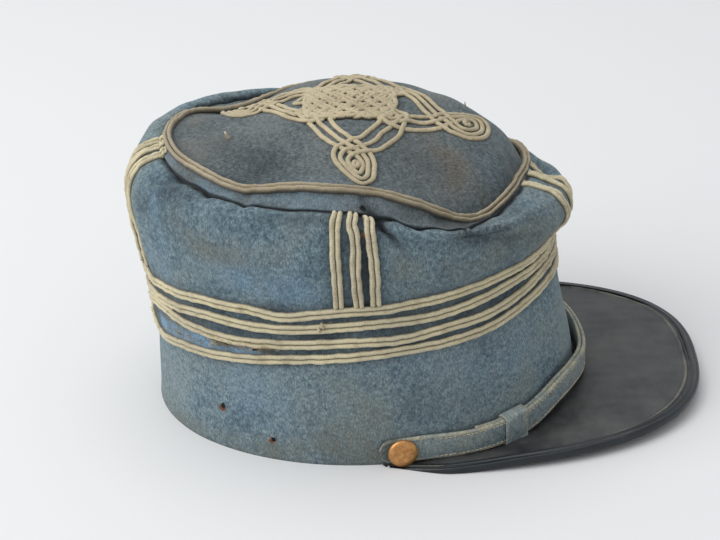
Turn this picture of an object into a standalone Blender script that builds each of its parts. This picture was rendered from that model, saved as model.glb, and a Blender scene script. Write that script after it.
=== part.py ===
# A kepi cap of blue-grey cloth: an oval band and wall, a dented crown, flat braids,
# a braid knot, a leather peak with a bound edge, and a two-part chin strap on buttons.
# Metres, +Z up. The peak points along -Y and the wearer's right side faces -X.
# The rim stands on Z = 0, and the origin is under the middle of the bounding box.

import bisect
import math

import bmesh
import bpy
from mathutils import Vector
from mathutils.bvhtree import BVHTree

# Driving dimensions
RIM_LENGTH = 0.203
RIM_WIDTH = 0.1664
HAT_HEIGHT = 0.140
CLOTH = 0.002
CLEARANCE = 0.0003
BRAID_WIDTH = 0.0043
BRAID_RISE = 0.0018
UPRIGHT_PITCH = 0.0078
KNOT_RISE = 0.0016
KNOT_LENGTH = 0.126
KNOT_WIDTH = 0.110
PEAK_REACH = 0.0588
PEAK_WIDTH = 0.184
PEAK_THICKNESS = 0.0020
BINDING_WIDTH = 0.0036
BINDING_THICKNESS = 0.0008
STRAP_WIDTH = 0.0125
STRAP_THICKNESS = 0.0016
STRAP_SEAT = 0.0006
LOOP_WIDTH = 0.0125
LOOP_THICKNESS = 0.0009
BUTTON_DIAMETER = 0.0137
BUTTON_HEIGHT = 0.0036
SHANK_DIAMETER = 0.0024
SEAM_GAP = 0.0006
KNOT_SEAT = 0.0008
LOBE_LENGTH = 0.026
LOBE_WIDTH = 0.021
BLOCK_LENGTH = 0.046
BLOCK_WIDTH = 0.034
KNOT_BOW = 0.0015
RIM_TURN = 0.002
PEAK_HORN_LIFT = 0.0012
PEAK_SEAM_RISE = 0.0058
PEAK_TIP_RISE = 0.0042
PEAK_EDGE_LIFT = 0.0018
PEAK_CENTRE = 0.0116
PEAK_CAMBER = 0.0012
STRAP_FOOT = 0.0019
STRAP_SAG = 0.0004
STRAP_FRONT_STAND = 0.0006

HALF_LENGTH = RIM_LENGTH / 2
HALF_WIDTH = RIM_WIDTH / 2
SEGMENTS = 48
PEAK_STEPS = 30
BUTTON_SIDES = 14
PAD_SIDES = 12
ARM_STEPS = 4

# Angles from the front through the wearer's right, in degrees
PEAK_HORN_ANGLE = 84.6
PEAK_OUTLINE_ANGLE = 88
PEAK_SQUARENESS = 2.6
BUTTON_ANGLE = 80
STRAP_START = 86
STRAP_END = 60
LOOP_ANGLE = 45
STRAP_LEVEL = 0.4
STRAP_TAB = 0.6
UPRIGHT_SIDES = (("front", 0), ("right", 90), ("back", 180), ("left", 270))
PEAK_ACROSS = (0.0, 0.25, 0.5, 0.75, 1.0)
PEAK_SEAM_ANGLE = 60
PEAK_SEAM_POWER = 1.3
PEAK_TIP_POWER = 3
STRAP_FRONT_SPREAD = 20
UNDER_COMES_IN = (52, 67)
OVER_COMES_IN = (61, 76)

# Shapes of the small sections, as shares of their own width, rise or thickness
BRAID_RIB_PLACE = 0.72
BRAID_GROOVE_LEVEL = 0.62
BINDING_ROUND = 0.4
STRAP_EDGE_THICKNESS = 0.7
STRAP_FACE_WIDTH = 0.84
BUTTON_EDGE = 0.3
BUTTON_BACK = 0.94
BUTTON_TURNS = (0.42, 0.84, 1.22)

# Ridges and grooves of the knot: the rings of a pad from its edge in and the rails across
# an arm, as shares of its half size or width, with their rises as shares of KNOT_RISE
KNOT_EDGE = 0.5
PAD_RINGS = (1.0, 0.86, 0.69, 0.52, 0.30)
PAD_RISES = (KNOT_EDGE, 1.0, 0.5, 1.0, 0.5)
PAD_BACK_RING = 3
ARM_RAILS = (0.0, 0.17, 0.33, 0.5, 0.67, 0.83, 1.0)
ARM_RISES = (KNOT_EDGE, 1.0, 0.5, 1.0, 0.5, 1.0, KNOT_EDGE)

# Steps of the construction: turns in radians, levels in sections, lengths in metres
TURN_STEP = 0.01
LEVEL_STEP = 0.01
LOOP_TURN = 0.06
SLOPE_STEP = 0.002
FACET_TOLERANCE = 0.0001
MERGE_DISTANCE = 0.00005
UPRIGHT_TOP_GAP = 0.10
LEAST_LEVEL_GAP = 0.05
LEAST_MARK_GAP = 0.5
SHARP_ANGLE = 40
HOLE_SIDES = 10

# Sections of the cloth, from the rim up. Heights are shares of HAT_HEIGHT and reaches
# are shares of the rim's half length (front, back) and half width (right, left).
SECTION_COLUMNS = ("name", "front_height", "right_height", "back_height", "left_height",
                   "front_reach", "right_reach", "back_reach", "left_reach")
SECTIONS = (
    ("rim", 0.000, 0.000, 0.000, 0.000, 1.000, 1.000, 1.000, 1.000),
    ("low", 0.143, 0.129, 0.107, 0.129, 0.966, 0.993, 0.987, 0.993),
    ("middle", 0.300, 0.264, 0.207, 0.264, 0.920, 0.982, 0.979, 0.982),
    ("low_braid", 0.457, 0.400, 0.311, 0.400, 0.897, 0.972, 0.971, 0.972),
    ("top_braid", 0.590, 0.549, 0.505, 0.549, 0.893, 0.950, 1.015, 0.950),
    ("swell", 0.664, 0.664, 0.657, 0.657, 0.971, 0.964, 1.046, 0.964),
    ("shoulder", 0.718, 0.786, 0.775, 0.764, 0.951, 0.935, 1.062, 0.935),
    ("brow", 0.743, 0.841, 0.857, 0.818, 0.911, 0.906, 1.003, 0.901),
    ("seam", 0.754, 0.870, 0.893, 0.839, 0.862, 0.865, 0.890, 0.853),
    ("ring", 0.773, 0.907, 0.932, 0.914, 0.764, 0.745, 0.857, 0.733),
)

# Sags and rolls of the sections. Angles run from the front through the wearer's right,
# in degrees. The level counts sections from the rim. Rise and push are shares of
# HAT_HEIGHT, up and outwards.
SAG_COLUMNS = ("name", "angle", "spread", "level", "level_spread", "rise", "push")
SAGS = (
    ("ring sags at the front right", 49, 13, 9.0, 0.55, -0.073, 0.000),
    ("ring sags at the back right", 130, 15, 9.0, 0.55, -0.026, 0.000),
    ("seam sags at the front right", 57, 16, 8.0, 0.60, -0.057, 0.000),
    ("seam sags at the back right", 128, 18, 8.0, 0.60, -0.024, 0.000),
    ("cloth rolls over the front right seam", 60, 18, 7.0, 0.60, -0.020, 0.016),
    ("ring lifts at the front left", 335, 20, 9.0, 0.80, 0.029, 0.000),
    ("ring dips at the back left", 228, 14, 9.0, 0.80, -0.062, 0.000),
    ("cloth rolls up at the back left", 226, 28, 7.2, 0.90, 0.072, 0.000),
    ("wall tucks in at the right braids", 84, 7, 7.5, 0.60, 0.000, -0.010),
    ("wall folds behind the right", 137, 7, 7.3, 0.60, 0.000, -0.016),
)

# Dents and swells of the crown inside the ring. Places and sizes are shares of the
# rim's half width (across, + to the left) and half length (along, + to the back).
# The rise is a share of HAT_HEIGHT.
DENT_COLUMNS = ("name", "across", "along", "across_size", "along_size", "rise")
DENTS = (
    ("flat by the right edge", -0.54, 0.00, 0.20, 0.30, -0.036),
    ("full front", 0.00, -0.58, 0.36, 0.14, 0.043),
    ("full left", 0.44, 0.02, 0.26, 0.56, 0.036),
    ("low back", -0.05, 0.60, 0.40, 0.16, -0.021),
    ("pit at the back left", 0.46, 0.61, 0.18, 0.14, -0.043),
)
DOME_POWER = 2.2
RING_FADE_POWER = 6

# Rows of the faceted cloth, counted in sections from the rim
SEAM = 8.0
RING = 9.0
BAND_ROWS = (0.0, 1.0, 2.0, 2.82)
WALL_ROWS = (3.17, 3.50, 3.83, 4.17, 4.75, 5.3, 6.0, 6.7, 7.4, 8.0)
CROWN_RATIOS = (0.92, 0.80, 0.65, 0.48, 0.30, 0.14)
BRAID_ROWS = (4.0, 3.67, 3.34, 3.0)


def rows_of(columns, table):
    return [dict(zip(columns, row)) for row in table]


def spline(values, place):
    # Smooth curve through equally spaced values
    last = len(values) - 1
    start = min(int(place), last - 1)
    part = place - start
    before = values[max(start - 1, 0)]
    first, second = values[start], values[start + 1]
    after = values[min(start + 2, last)]
    slope_in = (second - before) / 2
    slope_out = (after - first) / 2
    if start == 0:
        slope_in = second - first
    if start == last - 1:
        slope_out = second - first
    cube, square = part ** 3, part ** 2
    return ((2 * cube - 3 * square + 1) * first + (cube - 2 * square + part) * slope_in
            + (3 * square - 2 * cube) * second + (cube - square) * slope_out)


def around(front, right, back, left, angle):
    # Smooth value round the oval through four compass values
    mean = (front + right + back + left) / 4
    return (mean + (front - back) / 2 * math.cos(angle) + (right - left) / 2 * math.sin(angle)
            + (front + back - right - left) / 4 * math.cos(2 * angle))


def bell(distance, size):
    return math.exp(-(distance / size) ** 2 / 2)


def turn_between(angle, degrees):
    # Shortest way round between an angle and a table's degrees, in degrees
    return (math.degrees(angle) - degrees + 180) % 360 - 180


SECTION_ROWS = rows_of(SECTION_COLUMNS, SECTIONS)
SAG_ROWS = rows_of(SAG_COLUMNS, SAGS)
DENT_ROWS = rows_of(DENT_COLUMNS, DENTS)


def wall_point(angle, level):
    # Point of the outer cloth. Angle 0 is the front and a quarter turn is the right.
    front, right, back, left = (spline([row[side + "_reach"] for row in SECTION_ROWS], level)
                                for side in ("front", "right", "back", "left"))
    height = around(*(spline([row[side + "_height"] for row in SECTION_ROWS], level)
                      for side in ("front", "right", "back", "left")), angle)
    along = front if math.cos(angle) > 0 else back
    across = right if math.sin(angle) > 0 else left
    push = 0.0
    for sag in SAG_ROWS:
        weight = (bell(turn_between(angle, sag["angle"]), sag["spread"])
                  * bell(level - sag["level"], sag["level_spread"]))
        height += sag["rise"] * weight
        push += sag["push"] * HAT_HEIGHT * weight
    return Vector((-(across * HALF_WIDTH + push) * math.sin(angle),
                   -(along * HALF_LENGTH + push) * math.cos(angle),
                   height * HAT_HEIGHT))


def facet_point(angle, level):
    # Point of the faceted cloth, which is flat between its rows and columns
    rows = BAND_ROWS + WALL_ROWS
    row = max(0, min(len(rows) - 2, bisect.bisect_right(rows, level) - 1))
    up = (level - rows[row]) / (rows[row + 1] - rows[row])
    step = 2 * math.pi / SEGMENTS
    column = math.floor(angle / step + FACET_TOLERANCE)
    turn = angle / step - column
    low, high = ([wall_point((column + side) * step, rows[row + rise]) for side in (0, 1)]
                 for rise in (0, 1))
    return low[0].lerp(low[1], turn).lerp(high[0].lerp(high[1], turn), up)


def facet_normal(angle, level):
    along = wall_point(angle + TURN_STEP, level) - wall_point(angle - TURN_STEP, level)
    upward = facet_point(angle, level + LEVEL_STEP) - facet_point(angle, level - LEVEL_STEP)
    return upward.cross(along).normalized()


def crown_point(angle, ratio):
    # Point of the crown inside the ring. Ratio 1 is the ring and 0 the middle.
    ring = wall_point(angle, RING)
    across, along = ring.x * ratio, ring.y * ratio
    height = ring.z + (HAT_HEIGHT - ring.z) * (1 - ratio ** DOME_POWER)
    fade = 1 - ratio ** RING_FADE_POWER
    for dent in DENT_ROWS:
        weight = (bell(across / HALF_WIDTH - dent["across"], dent["across_size"])
                  * bell(along / HALF_LENGTH - dent["along"], dent["along_size"]))
        height += dent["rise"] * HAT_HEIGHT * weight * fade
    return Vector((across, along, height))


def material(name, red, green, blue, roughness, metallic=0.0):
    made = bpy.data.materials.new(name)
    made.use_nodes = True
    shader = made.node_tree.nodes["Principled BSDF"]
    shader.inputs["Base Color"].default_value = (red, green, blue, 1.0)
    shader.inputs["Roughness"].default_value = roughness
    shader.inputs["Metallic"].default_value = metallic
    return made


def add_object(name, build, collection, parent, finish):
    mesh = bpy.data.meshes.new(name)
    build.to_mesh(mesh)
    build.free()
    mesh.shade_smooth()
    mesh.set_sharp_from_angle(angle=math.radians(SHARP_ANGLE))
    piece = bpy.data.objects.new(name, mesh)
    piece.data.materials.append(finish)
    piece.parent = parent
    collection.objects.link(piece)
    return piece


def thicken(piece, thickness):
    # The modelled surface is the outer one, and the wall grows inwards
    shell = piece.modifiers.new("wall", "SOLIDIFY")
    shell.thickness = thickness
    shell.offset = -1.0
    shell.use_even_offset = True


def loft(rows, middle=None, closed=True):
    # Skin through rows of points, each as long as the last, with an end fan to a middle
    build = bmesh.new()
    rings = [[build.verts.new(point) for point in row] for row in rows]
    count = len(rings[0])
    for low, high in zip(rings, rings[1:]):
        for i in range(count if closed else count - 1):
            j = (i + 1) % count
            build.faces.new((low[i], high[i], high[j], low[j]))
    if middle is not None:
        tip = build.verts.new(middle)
        for i in range(count):
            build.faces.new((rings[-1][i], tip, rings[-1][(i + 1) % count]))
    return build


def sweep(stations, section, closed):
    # Tube of a flat section. Each station is a point, a side vector and an out vector,
    # and each section point is a share of the side and of the out vector.
    rows = [[point + side * across + out * lift for across, lift in section]
            for point, side, out in stations]
    build = bmesh.new()
    rings = [[build.verts.new(point) for point in row] for row in rows]
    pairs = list(zip(rings, rings[1:]))
    if closed:
        pairs.append((rings[-1], rings[0]))
    count = len(section)
    for near, far in pairs:
        for i in range(count):
            j = (i + 1) % count
            build.faces.new((near[i], near[j], far[j], far[i]))
    if not closed:
        build.faces.new(rings[0][::-1])
        build.faces.new(rings[-1])
    bmesh.ops.recalc_face_normals(build, faces=build.faces)
    return build


def angles():
    return [2 * math.pi * i / SEGMENTS for i in range(SEGMENTS)]


def braid_section(width, rise):
    # Two ribs with a groove between them, on a flat back
    half = width / 2
    rib, top = BRAID_RIB_PLACE * half, CLEARANCE + rise
    return ((-half, CLEARANCE), (half, CLEARANCE), (rib, top),
            (0.0, CLEARANCE + BRAID_GROOVE_LEVEL * rise), (-rib, top))


def strip_stations(points, outs):
    # Stations along a path, each with its side vector level with the surface
    stations = []
    for i, (point, out) in enumerate(zip(points, outs)):
        before = points[max(i - 1, 0)]
        after = points[min(i + 1, len(points) - 1)]
        side = out.cross(after - before).normalized()
        stations.append((point, side, out))
    return stations


def make_cloth(collection, parent, finishes):
    # The first rise of the band is upright, so that its foot is flat
    rows = [[wall_point(a, 0.0) + Vector((0, 0, rise)) for a in angles()]
            for rise in (0.0, RIM_TURN)]
    rows += [[wall_point(a, level) for a in angles()] for level in BAND_ROWS[1:]]
    band = add_object("band", loft(rows), collection, parent, finishes["band cloth"])
    thicken(band, CLOTH)
    # The upper wall stands a clearance above the band
    lift = Vector((0, 0, CLEARANCE))
    rows = [[wall_point(a, BAND_ROWS[-1]) + lift for a in angles()]]
    rows += [[wall_point(a, level) for a in angles()] for level in WALL_ROWS]
    wall = add_object("side_wall", loft(rows), collection, parent, finishes["wall cloth"])
    thicken(wall, CLOTH)
    return band, wall


def crown_edge(angle):
    # Edge of the crown's margin, a clearance in from the wall's top edge
    seam, ring = wall_point(angle, SEAM), wall_point(angle, RING)
    return seam + (ring - seam).normalized() * SEAM_GAP


def make_crown(collection, parent, finish):
    rows = [[crown_edge(a) for a in angles()], [wall_point(a, RING) for a in angles()]]
    rows += [[crown_point(a, ratio) for a in angles()] for ratio in CROWN_RATIOS]
    crown = add_object("crown_top", loft(rows, crown_point(0.0, 0.0)), collection, parent,
                       finish)
    thicken(crown, CLOTH)
    return crown


def make_level_braids(collection, parent, finish):
    section = braid_section(BRAID_WIDTH, BRAID_RISE)
    for number, level in enumerate(BRAID_ROWS, start=1):
        stations = []
        for a in angles():
            out = facet_normal(a, level)
            along = wall_point(a + TURN_STEP, level) - wall_point(a - TURN_STEP, level)
            stations.append((facet_point(a, level), out.cross(along).normalized(), out))
        add_object(f"band_braid_{number}", sweep(stations, section, True), collection, parent,
                   finish)
    stations = []
    for a in angles():
        inner = crown_point(a, CROWN_RATIOS[0])
        outer = crown_edge(a)
        along = wall_point(a + TURN_STEP, RING) - wall_point(a - TURN_STEP, RING)
        out = (outer - inner).cross(along).normalized()
        out = out if out.z > 0 else -out
        side = out.cross(along).normalized()
        ring = wall_point(a, RING)
        # Where the cloth folds in under the braid, the braid rides up on the fold's sides
        slopes = [(end - ring).dot(out) / abs((end - ring).dot(side)) for end in (inner, outer)]
        lift = max(0.0, *slopes) * BRAID_WIDTH / 2 + CLEARANCE
        stations.append((ring + out * lift, side, out))
    add_object("crown_braid", sweep(stations, section, True), collection, parent, finish)


def make_upright_braids(collection, parent, finish):
    section = braid_section(BRAID_WIDTH, BRAID_RISE)
    for name, degrees in UPRIGHT_SIDES:
        for number in (1, 2, 3):
            reach = HALF_WIDTH if name in ("front", "back") else HALF_LENGTH
            shift = (number - 2) * UPRIGHT_PITCH / reach
            a = math.radians(degrees) + shift
            bottom = BRAID_ROWS[0] + upright_start(a)
            levels = [bottom] + [level for level in WALL_ROWS if level > bottom + LEAST_LEVEL_GAP]
            levels[-1] -= UPRIGHT_TOP_GAP
            points = [facet_point(a, level) for level in levels]
            outs = [facet_normal(a, level) for level in levels]
            add_object(f"{name}_braid_{number}",
                       sweep(strip_stations(points, outs), section, False),
                       collection, parent, finish)


def upright_start(angle):
    # Levels above the top braid at which an upright braid starts, clear of it
    level = BRAID_ROWS[0]
    rise = (wall_point(angle, level + LEVEL_STEP) - wall_point(angle, level)).length
    return LEVEL_STEP * (BRAID_WIDTH / 2 + 2 * CLEARANCE) / rise


def peak_inner(share):
    # Inner edge of the peak's top face, just outside the band. Share runs from -1 at
    # the left horn through 0 at the front to 1 at the right horn.
    angle = share * math.radians(PEAK_HORN_ANGLE)
    fall = min(1.0, abs(angle) / math.radians(PEAK_SEAM_ANGLE))
    crest = max(0.0, math.cos(math.pi / 2 * fall)) ** PEAK_SEAM_POWER
    rise = PEAK_THICKNESS + PEAK_HORN_LIFT + PEAK_SEAM_RISE * crest
    seat = wall_point(angle, 0.0)
    out = Vector((seat.x, seat.y, 0)).normalized()
    place = seat + out * CLEARANCE * 2
    place.z = rise
    return place


def peak_outer(share):
    # Outer edge of the peak's top face, a rounded outline swept from horn to horn
    angle = share * math.radians(PEAK_OUTLINE_ANGLE)
    across, along = math.sin(angle), math.cos(angle)
    power = 2 / PEAK_SQUARENESS
    x = -math.copysign(abs(across) ** power, across) * PEAK_WIDTH / 2
    y = -PEAK_CENTRE - (HALF_LENGTH + PEAK_REACH - PEAK_CENTRE) * along ** power
    tip = 1 - abs(share) ** PEAK_TIP_POWER
    return Vector((x, y, PEAK_THICKNESS + PEAK_EDGE_LIFT + PEAK_TIP_RISE * tip))


def peak_point(share, across, inset=0.0):
    # Across runs from 0 at the band to 1 at the edge, less an inset
    inner, outer = peak_inner(share), peak_outer(share)
    reach = outer - inner
    place = inner + reach * (across - inset / max(reach.length, inset))
    camber = PEAK_CAMBER * math.sin(math.pi * across) ** 2 * min(1.0, reach.length / PEAK_REACH)
    return place + Vector((0, 0, camber))


def peak_shares():
    return [2 * i / PEAK_STEPS - 1 for i in range(PEAK_STEPS + 1)]


def make_peak(collection, parent, finishes):
    # The leather stops a clearance short of the binding's wall
    inset = BINDING_THICKNESS + CLEARANCE
    rows = [[peak_point(share, across, inset if across == 1.0 else 0.0)
             for share in peak_shares()] for across in reversed(PEAK_ACROSS)]
    peak = add_object("peak", loft(rows, closed=False), collection, parent,
                      finishes["peak leather"])
    thicken(peak, PEAK_THICKNESS)
    return peak


def make_binding(collection, parent, finish):
    # A folded strip that wraps the peak's edge: an upper lip, an outer wall, a lower lip
    gap, wall = CLEARANCE, BINDING_THICKNESS
    under = -PEAK_THICKNESS - gap
    shoulder = gap + BINDING_ROUND * wall
    section = ((-BINDING_WIDTH, gap), (gap, gap), (gap, under), (-BINDING_WIDTH, under),
               (-BINDING_WIDTH, under - wall), (gap + wall, under - wall),
               (gap + wall, shoulder), (shoulder, gap + wall), (-BINDING_WIDTH, gap + wall))
    points = [peak_point(share, 1.0, wall + gap) for share in peak_shares()]
    stations = []
    for i, point in enumerate(points):
        along = points[min(i + 1, PEAK_STEPS)] - points[max(i - 1, 0)]
        out = Vector((-along.y, along.x, 0)).normalized()
        if out.dot(Vector((point.x, point.y + PEAK_CENTRE, 0))) < 0:
            out = -out
        stations.append((point, out, Vector((0, 0, 1))))
    add_object("peak_binding", sweep(stations, section, False), collection, parent, finish)


def strap_base(angle):
    # Foot of the strap, level with the band's cloth, above the peak's seam
    share = max(-1.0, min(1.0, angle / math.radians(PEAK_HORN_ANGLE)))
    place = wall_point(angle, STRAP_LEVEL)
    place.z = peak_inner(share).z + STRAP_FOOT
    return place


def strap_out(angle):
    after, before = (wall_point(angle + turn, STRAP_LEVEL) for turn in (TURN_STEP, -TURN_STEP))
    return Vector((before.y - after.y, after.x - before.x, 0)).normalized()


def ease(value, start, end):
    # Smooth step from 0 at start to 1 at end
    part = max(0.0, min(1.0, (value - start) / (end - start)))
    return part * part * (3 - 2 * part)


def under_offset(degrees):
    # Stand-off of the under strap: near the band at its button, out through the loops
    loop_room = LOOP_THICKNESS + 2 * CLEARANCE + STRAP_SAG
    stand = loop_room - STRAP_SEAT
    return (STRAP_SEAT + stand * (1 - ease(abs(degrees), *UNDER_COMES_IN))
            + STRAP_FRONT_STAND * bell(degrees, STRAP_FRONT_SPREAD))


def over_offset(degrees):
    # The over strap lies on the under strap, and comes down to the band at its own button
    lifted = under_offset(degrees) + STRAP_THICKNESS + CLEARANCE
    return lifted + (STRAP_SEAT - lifted) * ease(degrees, *OVER_COMES_IN)


def strap_stations(first, last, offset, tab_end):
    # Stations between two angles in degrees, every one on the wall's own facet lines
    step = 360 / SEGMENTS
    marks = [n * step for n in range(math.ceil(first / step), math.floor(last / step) + 1)]
    if first < marks[0] - LEAST_MARK_GAP:
        marks.insert(0, first)
    if last > marks[-1] + LEAST_MARK_GAP:
        marks.append(last)
    stations = []
    for degrees in marks:
        angle = math.radians(degrees)
        out = strap_out(angle)
        middle = strap_base(angle) + out * offset(degrees) + Vector((0, 0, STRAP_WIDTH / 2))
        narrow = STRAP_TAB if degrees == tab_end else 1.0
        stations.append((middle, Vector((0, 0, narrow)), out))
    return stations


def make_straps(collection, parent, finish):
    half, thick = STRAP_WIDTH / 2, STRAP_THICKNESS
    edge, face = STRAP_EDGE_THICKNESS * thick, STRAP_FACE_WIDTH * half
    section = ((-half, 0), (half, 0), (half, edge), (face, thick), (-face, thick), (-half, edge))
    right = add_object("strap_right",
                       sweep(strap_stations(-STRAP_END, STRAP_START, over_offset, STRAP_START),
                             section, False), collection, parent, finish)
    left = add_object("strap_left",
                      sweep(strap_stations(-STRAP_START, STRAP_END, under_offset, -STRAP_START),
                            section, False), collection, parent, finish)
    return right, left


def make_loop(name, degrees, collection, parent, finish):
    # Flat cloth loop round both straps
    angle = math.radians(degrees)
    out, up = strap_out(angle), Vector((0, 0, 1))
    along = (strap_base(angle + LOOP_TURN) - strap_base(angle - LOOP_TURN)).normalized()
    inner = under_offset(degrees) - CLEARANCE - STRAP_SAG
    outer = over_offset(degrees) + STRAP_THICKNESS + CLEARANCE
    low, high = -CLEARANCE, STRAP_WIDTH + CLEARANCE
    foot = strap_base(angle)
    thick = LOOP_THICKNESS
    corners = [foot + out * o + up * h for o, h in
               ((inner, low), (outer, low), (outer, high), (inner, high))]
    middle = sum(corners, Vector()) / 4
    build = bmesh.new()
    rings = []
    for corner in corners:
        away = corner - middle
        spread = (out * math.copysign(thick, away.dot(out))
                  + up * math.copysign(thick, away.dot(up)))
        ring = [corner - along * LOOP_WIDTH / 2, corner + along * LOOP_WIDTH / 2]
        rings.append([build.verts.new(p) for p in ring]
                     + [build.verts.new(p + spread) for p in reversed(ring)])
    for near, far in zip(rings, rings[1:] + rings[:1]):
        for i in range(4):
            j = (i + 1) % 4
            build.faces.new((near[i], near[j], far[j], far[i]))
    bmesh.ops.recalc_face_normals(build, faces=build.faces)
    add_object(name, build, collection, parent, finish)


def make_button(name, degrees, offset, collection, parent, finish):
    # Domed face, rolled edge, flat back and sewing shank, turned about the shank
    angle = math.radians(degrees)
    out = strap_out(angle)
    seat = strap_base(angle) + Vector((0, 0, STRAP_WIDTH / 2))
    seat += out * (offset(degrees) + STRAP_THICKNESS + CLEARANCE)
    radius, shank = BUTTON_DIAMETER / 2, SHANK_DIAMETER / 2
    edge = BUTTON_EDGE * BUTTON_HEIGHT
    profile = [(0.0, BUTTON_HEIGHT)]
    profile += [(radius * math.sin(t), edge + (BUTTON_HEIGHT - edge) * math.cos(t))
                for t in BUTTON_TURNS]
    profile += [(radius, edge), (BUTTON_BACK * radius, 0.0), (shank, 0.0),
                (shank, -STRAP_THICKNESS), (0.0, -STRAP_THICKNESS)]
    mesh = bpy.data.meshes.new(name)
    mesh.from_pydata([(r, 0.0, h) for r, h in profile],
                     [(i, i + 1) for i in range(len(profile) - 1)], [])
    button = bpy.data.objects.new(name, mesh)
    turn = button.modifiers.new("turned", "SCREW")
    turn.axis = "Z"
    turn.steps = BUTTON_SIDES
    turn.render_steps = BUTTON_SIDES
    turn.use_merge_vertices = True
    turn.merge_threshold = MERGE_DISTANCE
    mesh.materials.append(finish)
    button.parent = parent
    button.location = seat
    button.rotation_euler = out.to_track_quat("Z", "Y").to_euler()
    collection.objects.link(button)
    return seat, out


def cut_shank_hole(strap, seat, out, cutters, parent):
    # The shank passes through the strap's tab with a clearance all round
    build = bmesh.new()
    bmesh.ops.create_cone(build, cap_ends=True, segments=HOLE_SIDES,
                          radius1=SHANK_DIAMETER / 2 + CLEARANCE,
                          radius2=SHANK_DIAMETER / 2 + CLEARANCE, depth=6 * STRAP_THICKNESS)
    mesh = bpy.data.meshes.new(strap.name + "_hole")
    build.to_mesh(mesh)
    build.free()
    cutter = bpy.data.objects.new(strap.name + "_hole", mesh)
    cutter.parent = parent
    cutter.location = seat
    cutter.rotation_euler = out.to_track_quat("Z", "Y").to_euler()
    cutter.hide_render = True
    cutter.display_type = "WIRE"
    cutters.objects.link(cutter)
    cut = strap.modifiers.new("shank hole", "BOOLEAN")
    cut.operation = "DIFFERENCE"
    cut.solver = "EXACT"
    cut.object = cutter


def crown_seeker(crown):
    # Function that drops a plan place onto the crown's facets
    build = bmesh.new()
    build.from_mesh(crown.data)
    tree = BVHTree.FromBMesh(build)
    build.free()

    def drop(x, y):
        hit = tree.ray_cast(Vector((x, y, 2 * HAT_HEIGHT)), Vector((0, 0, -1)))[0]
        return hit if hit is not None else crown_point(0.0, 0.0)

    def place(x, y):
        slope_x = drop(x + SLOPE_STEP, y) - drop(x - SLOPE_STEP, y)
        slope_y = drop(x, y + SLOPE_STEP) - drop(x, y - SLOPE_STEP)
        return drop(x, y), slope_x.cross(slope_y).normalized()

    return place


def pad_rings(centre, size, turn):
    # Plan points of a knot's oval pad, ring by ring from the edge in. Size is the length
    # along the turn and the width across it.
    rings = []
    for share in PAD_RINGS:
        ring = []
        for i in range(PAD_SIDES):
            a = 2 * math.pi * (i + 0.5) / PAD_SIDES
            along = share * size[0] / 2 * math.cos(a)
            across = share * size[1] / 2 * math.sin(a)
            ring.append(Vector((centre[0] + along * math.cos(turn) - across * math.sin(turn),
                                centre[1] + along * math.sin(turn) + across * math.cos(turn))))
        rings.append(ring)
    return rings


def arm_rails(near, far, bow):
    # Plan points of three strands side by side, from a block's edge to a lobe's edge
    sideways = (near[1] - near[0]).normalized() * bow
    rows = []
    for step in range(ARM_STEPS + 1):
        part = step / ARM_STEPS
        start, end = near[0].lerp(far[1], part), near[1].lerp(far[0], part)
        shift = sideways * math.sin(math.pi * part)
        rows.append([start.lerp(end, share) + shift for share in ARM_RAILS])
    return rows


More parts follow.
